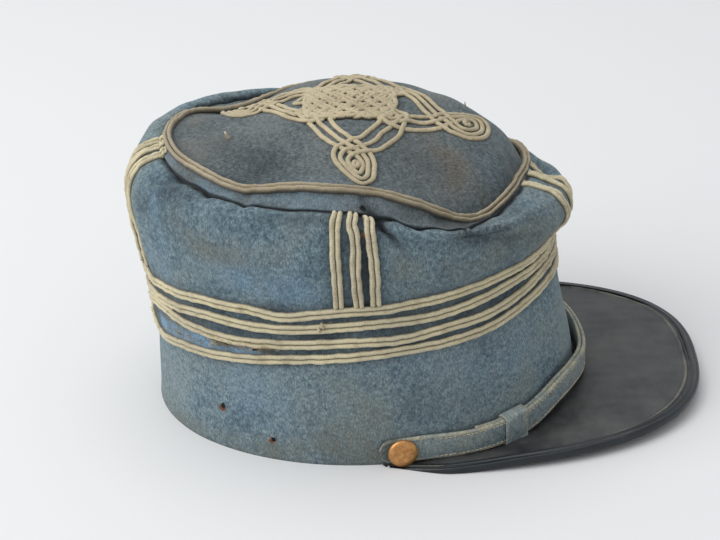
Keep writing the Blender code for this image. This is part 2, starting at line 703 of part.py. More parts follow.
def make_knot(crown, collection, parent, finish):
    # One closed low relief that follows the crown: a block, four lobes and eight arms,
    # ridged as their strands lie. Pads and arms share the points of the edges they meet on.
    place = crown_seeker(crown)
    build = bmesh.new()
    made = {}

    def vert(plan, rise):
        key = (round(plan.x, 7), round(plan.y, 7), rise > 0)
        if key not in made:
            point, out = place(plan.x, plan.y)
            made[key] = build.verts.new(point + out * (KNOT_SEAT + rise * KNOT_RISE))
        return made[key]

    def wall(first, second):
        build.faces.new((vert(first, KNOT_EDGE), vert(second, KNOT_EDGE), vert(second, 0),
                         vert(first, 0)))

    def pad(centre, rings, joints):
        # Joints are the sides that an arm meets, each with its rails' inner points
        for side in range(PAD_SIDES):
            far = (side + 1) % PAD_SIDES
            for level, (outer, inner) in enumerate(zip(rings, rings[1:])):
                low, high = PAD_RISES[level], PAD_RISES[level + 1]
                between = joints.get(side, []) if level == 0 else []
                build.faces.new([vert(outer[side], low)] + [vert(p, low) for p in between]
                                + [vert(outer[far], low), vert(inner[far], high),
                                   vert(inner[side], high)])
            build.faces.new((vert(rings[-1][side], PAD_RISES[-1]),
                             vert(rings[-1][far], PAD_RISES[-1]), vert(centre, 1)))
            edge, middle = rings[0], rings[PAD_BACK_RING]
            build.faces.new((vert(edge[side], 0), vert(edge[far], 0), vert(middle[far], 0),
                             vert(middle[side], 0)))
            build.faces.new((vert(middle[side], 0), vert(middle[far], 0), vert(centre, 0)))
            if side not in joints:
                wall(edge[side], edge[far])

    centre = Vector((0, 0))
    block = pad_rings(centre, (BLOCK_WIDTH, BLOCK_LENGTH), 0)
    block_joints = {}
    for number, span in enumerate((KNOT_WIDTH, KNOT_LENGTH, KNOT_WIDTH, KNOT_LENGTH)):
        turn = number * math.pi / 2
        reach = (span - LOBE_LENGTH) / 2
        middle = Vector((reach * math.cos(turn), reach * math.sin(turn)))
        lobe = pad_rings(middle, (LOBE_LENGTH, LOBE_WIDTH), turn)
        lobe_joints = {}
        for side in (-1, 1):
            near = (number * PAD_SIDES // 4 + side - 1) % PAD_SIDES
            far = PAD_SIDES // 2 - side - 1
            ends = [[rings[0][i], rings[0][(i + 1) % PAD_SIDES]]
                    for rings, i in ((block, near), (lobe, far))]
            rows = arm_rails(ends[0], ends[1], side * KNOT_BOW)
            block_joints[near] = rows[0][1:-1]
            lobe_joints[far] = rows[-1][1:-1][::-1]
            for step, (low, high) in enumerate(zip(rows, rows[1:])):
                for rail in range(len(ARM_RAILS) - 1):
                    build.faces.new([vert(row[i], arm_rise(i, step + up))
                                     for row, up, i in ((low, 0, rail), (low, 0, rail + 1),
                                                        (high, 1, rail + 1), (high, 1, rail))])
                build.faces.new([vert(p, 0) for p in (low[0], low[-1], high[-1], high[0])])
                wall(low[0], high[0])
                wall(low[-1], high[-1])
        pad(middle, lobe, lobe_joints)
    pad(centre, block, block_joints)
    bmesh.ops.recalc_face_normals(build, faces=build.faces)
    add_object("crown_knot", build, collection, parent, finish)


def arm_rise(rail, step):
    # An arm's strands sink to the pads' edges at both ends
    return KNOT_EDGE if step in (0, ARM_STEPS) else ARM_RISES[rail]


def centre_on_origin(parent, collection):
    # Slide everything so that the middle of the bounding box stands over the origin
    bpy.context.view_layer.update()
    depsgraph = bpy.context.evaluated_depsgraph_get()
    corners = [piece.evaluated_get(depsgraph).matrix_world @ Vector(corner)
               for piece in collection.objects if piece.type == "MESH"
               for corner in piece.evaluated_get(depsgraph).bound_box]
    for axis in (0, 1):
        values = [corner[axis] for corner in corners]
        parent.location[axis] -= (min(values) + max(values)) / 2


def main():
    for piece in list(bpy.data.objects):
        bpy.data.objects.remove(piece)
    scene = bpy.context.scene
    collection = bpy.data.collections.new("kepi_cap")
    cutters = bpy.data.collections.new("cutters")
    scene.collection.children.link(collection)
    scene.collection.children.link(cutters)
    parent = bpy.data.objects.new("rim_centre", None)
    collection.objects.link(parent)
    finishes = {
        "band cloth": material("band cloth", 0.135, 0.185, 0.225, 0.95),
        "wall cloth": material("wall cloth", 0.120, 0.170, 0.215, 0.95),
        "crown cloth": material("crown cloth", 0.110, 0.145, 0.175, 0.95),
        "braid": material("braid", 0.440, 0.370, 0.265, 0.85),
        "peak leather": material("peak leather", 0.030, 0.032, 0.036, 0.50),
        "bound edge": material("bound edge", 0.012, 0.020, 0.024, 0.35),
        "strap cloth": material("strap cloth", 0.130, 0.180, 0.220, 0.95),
        "brass": material("brass", 0.420, 0.190, 0.075, 0.40, 1.0),
    }
    make_cloth(collection, parent, finishes)
    crown = make_crown(collection, parent, finishes["crown cloth"])
    make_level_braids(collection, parent, finishes["braid"])
    make_upright_braids(collection, parent, finishes["braid"])
    make_knot(crown, collection, parent, finishes["braid"])
    make_peak(collection, parent, finishes)
    make_binding(collection, parent, finishes["bound edge"])
    right, left = make_straps(collection, parent, finishes["strap cloth"])
    make_loop("strap_loop_right", LOOP_ANGLE, collection, parent, finishes["strap cloth"])
    make_loop("strap_loop_left", -LOOP_ANGLE, collection, parent, finishes["strap cloth"])
    for name, degrees, offset, strap in (("button_right", BUTTON_ANGLE, over_offset, right),
                                         ("button_left", -BUTTON_ANGLE, under_offset, left)):
        seat, out = make_button(name, degrees, offset, collection, parent, finishes["brass"])
        cut_shank_hole(strap, seat, out, cutters, parent)
    centre_on_origin(parent, collection)


main()
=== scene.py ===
# A worn kepi cap of blue-grey wool cloth: band, wall and dented crown, two-ribbed braids,
# a knot of interlaced cord, a glazed leather peak and a stitched chin strap on buttons.
# Metres, +Z up. The peak points along -Y and the wearer's right side faces -X.

import math
import random

import bmesh
import bpy
import numpy as np
from mathutils import Matrix, Vector


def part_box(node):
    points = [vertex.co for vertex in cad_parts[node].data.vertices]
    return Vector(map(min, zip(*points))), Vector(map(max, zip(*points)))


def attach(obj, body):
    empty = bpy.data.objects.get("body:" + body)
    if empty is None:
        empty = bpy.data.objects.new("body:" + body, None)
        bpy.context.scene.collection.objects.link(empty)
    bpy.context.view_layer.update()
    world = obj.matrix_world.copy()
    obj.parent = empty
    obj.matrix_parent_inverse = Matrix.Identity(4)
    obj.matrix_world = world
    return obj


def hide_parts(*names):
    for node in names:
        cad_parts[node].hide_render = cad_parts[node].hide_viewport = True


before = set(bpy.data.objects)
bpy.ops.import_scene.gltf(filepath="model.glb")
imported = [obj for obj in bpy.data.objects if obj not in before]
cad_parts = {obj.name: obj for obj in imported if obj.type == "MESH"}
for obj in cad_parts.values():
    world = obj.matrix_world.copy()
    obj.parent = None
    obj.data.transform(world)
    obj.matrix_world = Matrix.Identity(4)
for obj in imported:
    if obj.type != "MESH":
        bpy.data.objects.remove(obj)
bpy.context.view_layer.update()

MM = 0.001
UP = np.array([0.0, 0.0, 1.0])
RIM_LENGTH, RIM_WIDTH, HAT_HEIGHT = 0.203, 0.1664, 0.140
HALF_LENGTH, HALF_WIDTH = RIM_LENGTH / 2, RIM_WIDTH / 2
CLOTH = 0.002
BRAID_WIDTH, BRAID_RISE = 0.0043, 0.0017
# The level and upright rows have spread a little under wear
LEVEL_BRAID_WIDTH, UPRIGHT_WIDTH = 0.0048, 0.0051
UPRIGHT_PITCH = 0.0078
BAND_TOP, SEAM, RING = 2.86, 8.0, 9.0
# Radius in metres that turns angles to lengths in patterns and uvs, and mm in a degree
PATTERN_RADIUS, UV_RADIUS, MM_PER_DEGREE = 0.088, 0.09, 1.48
# The middle of the rim's oval in the shared frame
RIM_MIDDLE = (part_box("band")[0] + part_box("band")[1]) / 2
RIM_MIDDLE.z = 0.0

# Sections of the cloth from the rim up: height shares of HAT_HEIGHT and reach shares of
# the rim's half length and half width, at the front, right, back and left
SECTIONS = (
    ("rim", 0.000, 0.000, 0.000, 0.000, 1.000, 1.000, 1.000, 1.000),
    ("low", 0.143, 0.129, 0.107, 0.129, 0.966, 0.993, 0.987, 0.993),
    ("middle", 0.300, 0.264, 0.207, 0.264, 0.920, 0.982, 0.979, 0.982),
    ("low_braid", 0.457, 0.400, 0.311, 0.400, 0.897, 0.972, 0.971, 0.972),
    ("top_braid", 0.590, 0.549, 0.505, 0.549, 0.893, 0.950, 1.015, 0.950),
    ("swell", 0.664, 0.664, 0.657, 0.657, 0.971, 0.964, 1.046, 0.964),
    ("shoulder", 0.718, 0.786, 0.775, 0.764, 0.951, 0.935, 1.062, 0.935),
    ("brow", 0.743, 0.841, 0.857, 0.818, 0.911, 0.906, 1.003, 0.901),
    ("seam", 0.754, 0.870, 0.893, 0.839, 0.862, 0.865, 0.890, 0.853),
    ("ring", 0.773, 0.907, 0.932, 0.914, 0.764, 0.745, 0.857, 0.733),
)
# Sags and rolls of the sections: angle and spread in degrees from the front through the
# right, level and its spread in sections, rise and push in shares of HAT_HEIGHT
SAGS = (
    ("ring sags at the front right", 49, 13, 9.0, 0.55, -0.073, 0.000),
    ("ring sags at the back right", 130, 15, 9.0, 0.55, -0.026, 0.000),
    ("ring dips behind the right", 123, 8, 9.0, 0.50, -0.018, 0.000),
    ("seam sags at the front right", 57, 16, 8.0, 0.60, -0.057, 0.000),
    ("seam sags at the back right", 128, 18, 8.0, 0.60, -0.024, 0.000),
    ("cloth rolls over the front right seam", 60, 18, 7.0, 0.60, -0.020, 0.016),
    ("ring lies low at the front left", 311, 13, 9.0, 0.80, -0.052, 0.000),
    ("ring drawn back at the front", 12, 11, 9.0, 0.50, 0.000, -0.020),
    ("ring's corner stands out at the front left", 340, 10, 9.0, 0.50, 0.019, 0.030),
    ("brow falls away at the front left", 335, 15, 7.5, 0.85, -0.088, -0.030),
    ("band bulges at the back", 172, 25, 3.1, 0.35, 0.000, 0.017),
    ("band stands out at the front", 0, 28, 1.7, 0.70, 0.000, 0.014),
    ("cloth rolls up at the back", 195, 14, 7.3, 0.90, 0.016, 0.000),
    ("ring dips at the back left", 228, 14, 9.0, 0.80, -0.062, 0.000),
    ("cloth rolls up at the back left", 226, 28, 7.2, 0.90, 0.072, 0.000),
    ("wall tucks in at the right braids", 84, 7, 7.5, 0.60, 0.000, -0.010),
    ("wall folds behind the right", 137, 7, 7.3, 0.60, 0.000, -0.016),
)
# Dents of the crown: place and size across (+ left) and along (+ back) in shares of the
# rim's half width and half length, rise in shares of HAT_HEIGHT
DENTS = (
    ("flat by the right edge", -0.54, 0.00, 0.20, 0.30, -0.036),
    ("full front", 0.00, -0.58, 0.36, 0.14, 0.034),
    ("full left", 0.44, 0.02, 0.26, 0.56, 0.036),
    ("low back", -0.05, 0.60, 0.40, 0.16, -0.021),
    ("pit at the back left", 0.46, 0.61, 0.18, 0.14, -0.043),
    ("full front left", 0.20, -0.745, 0.20, 0.075, 0.044),
    ("full left front", 0.36, -0.36, 0.22, 0.15, 0.032),
)
DOME_POWER, RING_FADE_POWER = 2.2, 11
BRAID_ROWS = (4.0, 3.67, 3.34, 3.0)
# Wander of the braid rows: row, angle and spread in degrees, shift in levels
ROW_SHIFTS = (
    (1, 107, 6, -0.11), (1, 70, 10, -0.04), (1, 130, 14, 0.03),
    (2, 109, 8, -0.04), (2, 70, 12, -0.10), (2, 139, 12, 0.05),
    (3, 147, 10, 0.14), (3, 161, 8, 0.12), (3, 110, 10, -0.02), (3, 70, 14, -0.15),
    (4, 140, 16, -0.06), (4, 162, 6, -0.12), (4, 70, 14, -0.12),
    (2, 48, 8, -0.07), (3, 48, 8, -0.13), (4, 50, 8, -0.10),
)

# Creases of the wall: middle as angle in degrees and height in mm, turn of the crease
# from level in degrees, half length, half width and rise in mm
CREASES = (
    ("diagonal crease by the right braids", 81.5, 113.5, 52, 8.0, 1.1, -3.6),
    ("lip beside the diagonal crease", 78.8, 115.0, 52, 7.0, 1.8, 2.2),
    ("pocket under the right seam", 76.5, 115.5, 15, 5.0, 1.3, -1.6),
    ("roll under the front right seam", 66.0, 105.5, 12, 16.0, 2.6, 1.5),
    ("roll's far end", 45.0, 101.0, 14, 17.0, 2.8, 1.3),
    ("hollow over the roll", 58.0, 109.0, 12, 15.0, 2.4, -1.3),
    ("fold at the back right", 151.0, 122.0, -14, 9.0, 1.3, -2.2),
    ("ridge under that fold", 150.0, 118.6, -14, 10.0, 2.4, 1.4),
    ("pocket behind the right", 135.0, 120.6, 24, 4.5, 1.3, -3.0),
    ("second pocket", 121.0, 120.5, 35, 3.0, 1.3, -1.6),
    ("standing fold at the back right", 158.0, 92.0, 84, 15.0, 3.0, 1.3),
    ("hollow by that fold", 164.5, 88.0, 84, 13.0, 2.6, -1.6),
    ("slack over the band at the back", 165.0, 90.0, 80, 14.0, 5.0, 0.9),
    ("slack at the right back", 140.0, 96.0, 75, 14.0, 6.0, -0.8),
    ("slack at the right", 112.0, 100.0, 60, 12.0, 7.0, 0.6),
    ("slack at the front right", 38.0, 86.0, 65, 10.0, 5.0, 0.6),
    ("slack at the front", 5.0, 96.0, 80, 9.0, 5.0, -0.8),
    ("slack at the front left", 325.0, 92.0, 70, 14.0, 5.0, 0.9),
    ("fold at the left", 285.0, 108.0, 20, 18.0, 3.0, -1.2),
    ("roll at the left", 280.0, 101.0, 14, 22.0, 4.0, 1.1),
    ("slack at the left back", 240.0, 92.0, 70, 16.0, 6.0, 1.0),
    ("fold at the back", 195.0, 112.0, 10, 16.0, 3.0, -1.1),
    ("press of the band at the right", 100.0, 30.0, 30, 24.0, 9.0, -0.5),
    ("press of the band at the back right", 142.0, 22.0, 80, 16.0, 7.0, 0.5),
    ("press of the band at the left", 262.0, 34.0, 40, 26.0, 9.0, -0.7),
)
# Creases of the crown: middle in mm from the rim's middle, turn from the X axis in
# degrees, half length, half width and rise in mm
CROWN_CREASES = (
    ("standing ridge at the front", -12.0, -66.0, 20, 14.0, 2.2, 1.5),
    ("valley before that ridge", -15.0, -71.0, 20, 13.0, 2.0, -1.6),
    ("ridge at the front right", -29.0, -52.0, 28, 13.0, 2.2, 0.9),
    ("dip outside that ridge", -33.0, -61.0, 34, 12.0, 3.0, -1.1),
    ("dip behind that ridge", -34.0, -44.0, 34, 11.0, 4.0, -0.8),
    ("dip by the near lobe", -40.0, -20.0, 80, 12.0, 4.0, -0.7),
    ("ridge at the back right", -40.0, 46.0, 130, 12.0, 3.0, 0.6),
    ("fold by the back left ring", 34.0, 66.0, 150, 15.0, 3.0, -1.4),
    ("dip at the left", 44.0, -10.0, 95, 20.0, 6.0, -0.8),
    ("ridge at the front left", 30.0, -50.0, 130, 16.0, 4.0, 0.8),
)


# Shape of the cloth

def spline(values, place):
    # Smooth curve through equally spaced values, for an array of places
    values = np.asarray(values, float)
    last = len(values) - 1
    start = np.clip(np.floor(place).astype(int), 0, last - 1)
    part = place - start
    before, after = values[np.maximum(start - 1, 0)], values[np.minimum(start + 2, last)]
    first, second = values[start], values[start + 1]
    slope_in = np.where(start == 0, second - first, (second - before) / 2)
    slope_out = np.where(start == last - 1, second - first, (after - first) / 2)
    cube, square = part ** 3, part ** 2
    return ((2 * cube - 3 * square + 1) * first + (cube - 2 * square + part) * slope_in
            + (3 * square - 2 * cube) * second + (cube - square) * slope_out)


def ease(value, start, end):
    part = np.clip((value - start) / (end - start), 0, 1)
    return part * part * (3 - 2 * part)


def bell(distance, size):
    return np.exp(-(distance / size) ** 2 / 2)


def turn_between(angle, degrees):
    return (np.degrees(angle) - degrees + 180) % 360 - 180


def ripple(u, v, seed, size):
    # Smooth unrepeating waves of about plus or minus one, over places in metres
    local = random.Random(seed)
    total = 0.0
    for _ in range(7):
        turn, phase = local.uniform(0, math.tau), local.uniform(0, math.tau)
        pitch = size * local.uniform(0.6, 1.7)
        total = total + np.sin((u * math.cos(turn) + v * math.sin(turn)) * math.tau / pitch
                               + phase)
    return total / 3.0


def crease_lift(across, along, creases):
    # Sum of the creases' rises in metres, at places in mm
    lift = 0.0
    for _, middle, height, turn, length, width, rise in creases:
        c, s = math.cos(math.radians(turn)), math.sin(math.radians(turn))
        x, y = across(middle), along(height)
        lift = lift + rise * MM * bell(x * c + y * s, length) * bell(y * c - x * s, width)
    return lift


def smooth_wall(angle, level):
    # Point of the outer cloth without its creases. Angle 0 is the front and a quarter
    # turn is the wearer's right.
    angle, level = np.broadcast_arrays(np.asarray(angle, float), np.asarray(level, float))
    columns = list(zip(*SECTIONS))
    front, right, back, left = (spline(columns[i], level) for i in (5, 6, 7, 8))
    f, r, b, l = (spline(columns[i], level) for i in (1, 2, 3, 4))
    height = ((f + r + b + l) / 4 + (f - b) / 2 * np.cos(angle) + (r - l) / 2 * np.sin(angle)
              + (f + b - r - l) / 4 * np.cos(2 * angle))
    along = np.where(np.cos(angle) > 0, front, back)
    across = np.where(np.sin(angle) > 0, right, left)
    push = 0.0
    for _, middle, spread, row, row_spread, rise, out in SAGS:
        weight = bell(turn_between(angle, middle), spread) * bell(level - row, row_spread)
        height = height + rise * weight
        push = push + out * HAT_HEIGHT * weight
    return np.stack([-(across * HALF_WIDTH + push) * np.sin(angle),
                     -(along * HALF_LENGTH + push) * np.cos(angle),
                     height * HAT_HEIGHT], -1)


def normals(place, first, second, step_first, step_second):
    # Outward normals of a surface given as a function of two numbers
    a = place(first + step_first, second) - place(first - step_first, second)
    b = place(first, second + step_second) - place(first, second - step_second)
    n = np.cross(b, a)
    return n / np.maximum(np.linalg.norm(n, axis=-1, keepdims=True), 1e-12)


# Depth of the crown's seam in mm, at angles in degrees
SEAM_DEPTHS = (
    (0, 0.4), (30, 0.6), (50, 1.0), (66, 1.4), (78, 2.2), (86, 1.8), (93, 0.6), (106, 0.7),
    (120, 0.9), (130, 1.6), (138, 2.2), (150, 1.6), (166, 1.2), (180, 1.0), (225, 1.5),
    (270, 1.0), (310, 1.2), (360, 0.4),
)


def seam_level(angle):
    # The crown's seam climbs close to the ring braid at the front right
    turn = np.degrees(angle) % 360
    return SEAM + 0.66 * ease(turn, -16, 6) * (1 - ease(turn, 46, 62)) * (turn < 180)


def seam_away(angle, level):
    # Distance from the crown's seam in mm, up the cloth
    half_step = 0.1
    step = (smooth_wall(angle, np.full_like(level, SEAM + half_step))
            - smooth_wall(angle, np.full_like(level, SEAM - half_step)))
    return (level - seam_level(angle)) * np.linalg.norm(step, axis=-1) / (2 * half_step) / MM


def seam_depth(angle):
    turns, depths = zip(*SEAM_DEPTHS)
    return np.interp(np.degrees(angle) % 360, turns, depths)


def wall_lift(angle, level):
    # Creases, slack and puckers of the wall and band, in metres along the normal
    place = smooth_wall(angle, level)
    z = place[..., 2]
    lift = crease_lift(lambda middle: turn_between(angle, middle) * MM_PER_DEGREE,
                       lambda height: z / MM - height, CREASES)
    u, v = angle * PATTERN_RADIUS, z
    soft = np.clip(level / 0.8, 0, 1)
    broad = ripple(np.cos(angle) * 0.10, v + np.sin(angle) * 0.1, 3, 0.05)
    lift = lift + soft * 0.35 * MM * broad
    upper = np.clip((level - 4.3) / 1.0, 0, 1)
    lift = lift + upper * 0.30 * MM * ripple(u, v, 5, 0.022)
    # The turned seam under the crown's margin: a groove that puckers the cloth below it
    pucker = np.clip((level - 7.0) / 1.0, 0, 1) * np.clip((9.0 - level) / 0.6, 0, 1)
    gather = ripple(u, v * 0.15, 8, 0.010)
    lift = lift + pucker * 0.45 * MM * gather
    away = seam_away(angle, level)
    depth = seam_depth(angle) * (1 + 0.35 * ripple(u, v * 0.1, 9, 0.014))
    below = np.where(away <= 0, bell(away, 0.35 + 0.35 * seam_depth(angle)), bell(away, 0.25))
    lift = lift - depth * below * MM
    lift = lift + 0.25 * depth * np.where(away > 0, bell(away - 1.0, 0.7),
                                          bell(away + 2.8, 1.2)) * MM
    notch = np.clip(ripple(u, v * 0.1, 12, 0.011) - 0.30, 0, 1)
    notch = notch * ease(np.degrees(angle) % 360, 62, 70)
    lift = lift - 0.8 * depth * MM * notch * bell(away + 1.5, 1.2)
    # The braids press the cloth down a little along the band
    for row in BRAID_ROWS:
        lift = lift - 0.15 * MM * bell(level - row, 0.12)
    return lift


def wall(angle, level):
    angle, level = np.broadcast_arrays(np.asarray(angle, float), np.asarray(level, float))
    out = normals(smooth_wall, angle, level, 0.01, 0.02)
    return smooth_wall(angle, level) + out * wall_lift(angle, level)[..., None]


def crown_height(x, y):
    # Height of the crown over a plan place, in metres from the rim's middle
    last = SECTIONS[-1]
    sx = x / (HALF_WIDTH * np.where(x < 0, last[6], last[8]))
    sy = y / (HALF_LENGTH * np.where(y < 0, last[5], last[7]))
    ratio = np.hypot(sx, sy)
    angle = np.arctan2(-sx, -sy)
    ring = smooth_wall(angle, np.full_like(angle, RING))[..., 2]
    height = ring + (HAT_HEIGHT - ring) * (1 - np.clip(ratio, 0, 1.2) ** DOME_POWER)
    fade = 1 - np.clip(ratio, 0, 1) ** RING_FADE_POWER
    for _, across, along, across_size, along_size, rise in DENTS:
        weight = (bell(x / HALF_WIDTH - across, across_size)
                  * bell(y / HALF_LENGTH - along, along_size))
        height = height + rise * HAT_HEIGHT * weight * fade
    soft = 1 - np.clip(ratio, 0, 1) ** 12
    lift = crease_lift(lambda middle: x / MM - middle, lambda middle: y / MM - middle,
                       CROWN_CREASES)
    lift = lift + 0.35 * MM * ripple(x, y, 21, 0.034)
    return height + lift * soft


def crown(x, y):
    x, y = np.broadcast_arrays(np.asarray(x, float), np.asarray(y, float))
    return np.stack([x, y, crown_height(x, y)], -1)


def crown_out(x, y):
    step = 0.0012
    slope_x = (crown_height(x + step, y) - crown_height(x - step, y)) / (2 * step)
    slope_y = (crown_height(x, y + step) - crown_height(x, y - step)) / (2 * step)
    n = np.stack([-slope_x, -slope_y, np.ones_like(slope_x)], -1)
    return n / np.linalg.norm(n, axis=-1, keepdims=True)


def run_along(points):
    # Distance along a path at each of its points
    steps = np.linalg.norm(np.diff(points, axis=0), axis=1)
    return np.concatenate([[0], np.cumsum(steps)])


def ring_plan(angle, ratio):
    place = smooth_wall(angle, np.full_like(angle, RING))
    return place[..., 0] * ratio, place[..., 1] * ratio


# Making pieces

def linear(code):
    # sRGB hex to linear colour
    parts = [int(code[i:i + 2], 16) / 255 for i in (0, 2, 4)]
    return tuple(c / 12.92 if c <= 0.04045 else ((c + 0.055) / 1.055) ** 2.4
                 for c in parts) + (1.0,)


def add(tree, kind, values=None, feeds=None, **settings):
    # A node with its settings, socket values and links
    node = tree.nodes.new(kind)
    for name, value in settings.items():
        setattr(node, name, value)
    for key, value in (values or {}).items():
        node.inputs[key].default_value = value
    for key, socket in (feeds or {}).items():
        tree.links.new(socket, node.inputs[key])
    return node


def new_material(name, values):
    # Material with its shader's even values, its tree and its shader
    made = bpy.data.materials.new(name)
    made.use_nodes = True
    shader = made.node_tree.nodes["Principled BSDF"]
    for socket, value in values.items():
        shader.inputs[socket].default_value = value
    return made, made.node_tree, shader


def finish_piece(piece, material, replaced=()):
    piece.data.transform(Matrix.Translation(RIM_MIDDLE))
    piece.data.materials.append(material)
    piece.data.shade_smooth()
    if replaced:
        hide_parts(*replaced)
    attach(piece, "root")
    return piece


def mesh_piece(name, points, faces, uvs=None, marks=None):
    # Mesh object from numpy points and a list of faces. Uvs are by point and marks are
    # named numbers by point.
    mesh = bpy.data.meshes.new(name)
    mesh.from_pydata(np.asarray(points, float).reshape(-1, 3).tolist(), [], faces)
    if uvs is not None:
        layer = mesh.uv_layers.new(name="cloth")
        loops = np.zeros(len(mesh.loops), int)
        mesh.loops.foreach_get("vertex_index", loops)
        layer.data.foreach_set("uv", np.asarray(uvs, float).reshape(-1, 2)[loops].ravel())
    for mark, values in (marks or {}).items():
        layer = mesh.attributes.new(mark, "FLOAT", "POINT")
        layer.data.foreach_set("value", np.asarray(values, float).ravel())
    mesh.validate()
    piece = bpy.data.objects.new(name, mesh)
    bpy.context.scene.collection.objects.link(piece)
    return piece


def grid_faces(rows, columns):
    # Faces of a grid of points stored row by row
    return [(r * columns + c, (r + 1) * columns + c, (r + 1) * columns + c + 1,
             r * columns + c + 1)
            for r in range(rows - 1) for c in range(columns - 1)]


def tube_faces(steps, count, closed=False):
    # Faces of a tube of stations of a section, with flat ends unless it closes on itself
    faces = []
    for s in range(steps if closed else steps - 1):
        t = (s + 1) % steps
        for c in range(count):
            d = (c + 1) % count
            faces.append((s * count + c, t * count + c, t * count + d, s * count + d))
    if not closed:
        faces.append(tuple(range(count)))
        faces.append(tuple((steps - 1) * count + c for c in reversed(range(count))))
    return faces


def thread_faces(first, steps, sides):
    # Faces of a thread whose rings of points start at the point numbered first
    faces = []
    for ring in range(steps - 1):
        for side in range(sides):
            a = first + ring * sides + side
            b = first + ring * sides + (side + 1) % sides
            faces.append((a, b, b + sides, a + sides))
    faces.append(tuple(first + side for side in reversed(range(sides))))
    faces.append(tuple(first + (steps - 1) * sides + side for side in range(sides)))
    return faces


def apply_modifiers(piece):
    bpy.ops.object.select_all(action="DESELECT")
    piece.select_set(True)
    bpy.context.view_layer.objects.active = piece
    for modifier in list(piece.modifiers):
        bpy.ops.object.modifier_apply(modifier=modifier.name)


def stand_on_floor(piece):
    # Nothing of a piece reaches below the floor
    for vertex in piece.data.vertices:
        vertex.co.z = max(vertex.co.z, 0.0)


def thicken(piece, thickness):
    shell = piece.modifiers.new("wall", "SOLIDIFY")
    shell.thickness = thickness
    shell.offset = -1.0
    shell.use_even_offset = False
    apply_modifiers(piece)


def weld(piece):
    build = bmesh.new()
    build.from_mesh(piece.data)
    bmesh.ops.remove_doubles(build, verts=build.verts, dist=0.02 * MM)
    build.to_mesh(piece.data)
    build.free()


def face_outwards(piece):
    build = bmesh.new()
    build.from_mesh(piece.data)
    bmesh.ops.recalc_face_normals(build, faces=build.faces)
    build.to_mesh(piece.data)
    build.free()


# Cloth marks

MARK_KINDS = ("soil", "dark", "fade")
# Marks on the wall and band: kind, angle in degrees, height in mm, turn in degrees, half
# length and half width in mm, strength. The dark marks are painted shade.
WALL_MARKS = (
    ("soil", 131.0, 103.0, 20, 11.0, 7.0, 0.8),
    ("soil", 121.0, 99.0, 0, 9.0, 5.0, 0.8),
    ("soil", 136.0, 110.0, 60, 8.0, 4.0, 0.6),
    ("soil", 107.0, 8.0, 0, 26.0, 5.0, 0.9),
    ("soil", 96.0, 14.0, 30, 16.0, 9.0, 0.8),
    ("soil", 86.0, 26.0, 40, 16.0, 10.0, 0.6),
    ("soil", 70.0, 30.0, 20, 18.0, 12.0, 0.5),
    ("soil", 60.0, 52.0, 30, 12.0, 8.0, 0.5),
    ("soil", 52.0, 92.0, 20, 12.0, 5.0, 0.6),
    ("soil", 64.0, 94.0, 10, 8.0, 5.0, 0.6),
    ("soil", 78.0, 96.0, 60, 7.0, 6.0, 0.4),
    ("soil", 98.0, 44.0, 0, 8.0, 5.0, 0.4),
    ("soil", 300.0, 96.0, 20, 20.0, 8.0, 0.7),
    ("soil", 250.0, 30.0, 20, 24.0, 9.0, 0.7),
    ("soil", 200.0, 60.0, 50, 14.0, 9.0, 0.5),
    # Painted shade in the folds, pockets, crease and hollows of the wall
    ("dark", 104.0, 119.0, 0, 14.0, 3.0, 0.5),
    ("dark", 145.0, 121.0, 10, 12.0, 3.5, 0.6),
    ("dark", 156.0, 112.0, 30, 8.0, 6.0, 0.3),
    ("dark", 81.8, 113.5, 52, 10.0, 1.5, 1.0),
    ("dark", 84.0, 117.5, 30, 5.0, 3.0, 0.9),
    ("dark", 58.0, 106.0, 10, 12.0, 3.0, 0.6),
    ("dark", 36.0, 107.0, 0, 10.0, 3.0, 0.3),
    ("dark", 52.0, 101.5, 10, 22.0, 2.2, 0.35),
    ("soil", 30.0, 90.0, 30, 16.0, 10.0, 0.6),
    ("soil", 44.0, 100.0, 20, 16.0, 8.0, 0.5),
    ("fade", 148.0, 106.0, 82, 16.0, 3.2, 0.3),
    ("dark", 87.0, 100.0, 90, 22.0, 3.5, 0.5),
    ("fade", 118.0, 30.0, 70, 18.0, 14.0, 0.35),
    ("fade", 112.0, 88.0, 10, 22.0, 8.0, 0.45),
    ("fade", 62.0, 46.0, 60, 16.0, 10.0, 0.25),
    ("fade", 40.0, 40.0, 60, 12.0, 12.0, 0.25),
    ("fade", 150.0, 80.0, 60, 16.0, 10.0, 0.35),
)
# Marks on the crown: kind, place in mm, turn, half length and half width in mm, strength
CROWN_MARKS = (
    ("soil", -25.0, -40.0, 30, 9.0, 4.0, 0.8),
    ("soil", -30.0, -46.0, 10, 8.0, 5.0, 0.7),
    ("soil", -38.0, -58.0, 40, 8.0, 4.0, 0.6),
    ("soil", 30.0, 10.0, 40, 18.0, 12.0, 0.5),
    ("soil", 12.0, 74.0, 0, 20.0, 6.0, 0.6),
    ("dark", -40.0, 40.0, 30, 16.0, 10.0, 0.5),
    ("dark", -20.0, 60.0, 30, 14.0, 8.0, 0.4),
    ("dark", -30.0, -30.0, 80, 14.0, 8.0, 0.3),
    ("dark", 30.0, -50.0, 20, 16.0, 8.0, 0.4),
    ("fade", -52.0, 22.0, 80, 18.0, 5.0, 0.35),
    ("fade", 2.0, 34.0, 80, 10.0, 6.0, 0.35),
    ("fade", -26.0, -62.0, 30, 20.0, 9.0, 0.2),
    ("fade", 20.0, -60.0, 20, 20.0, 6.0, 0.35),
)


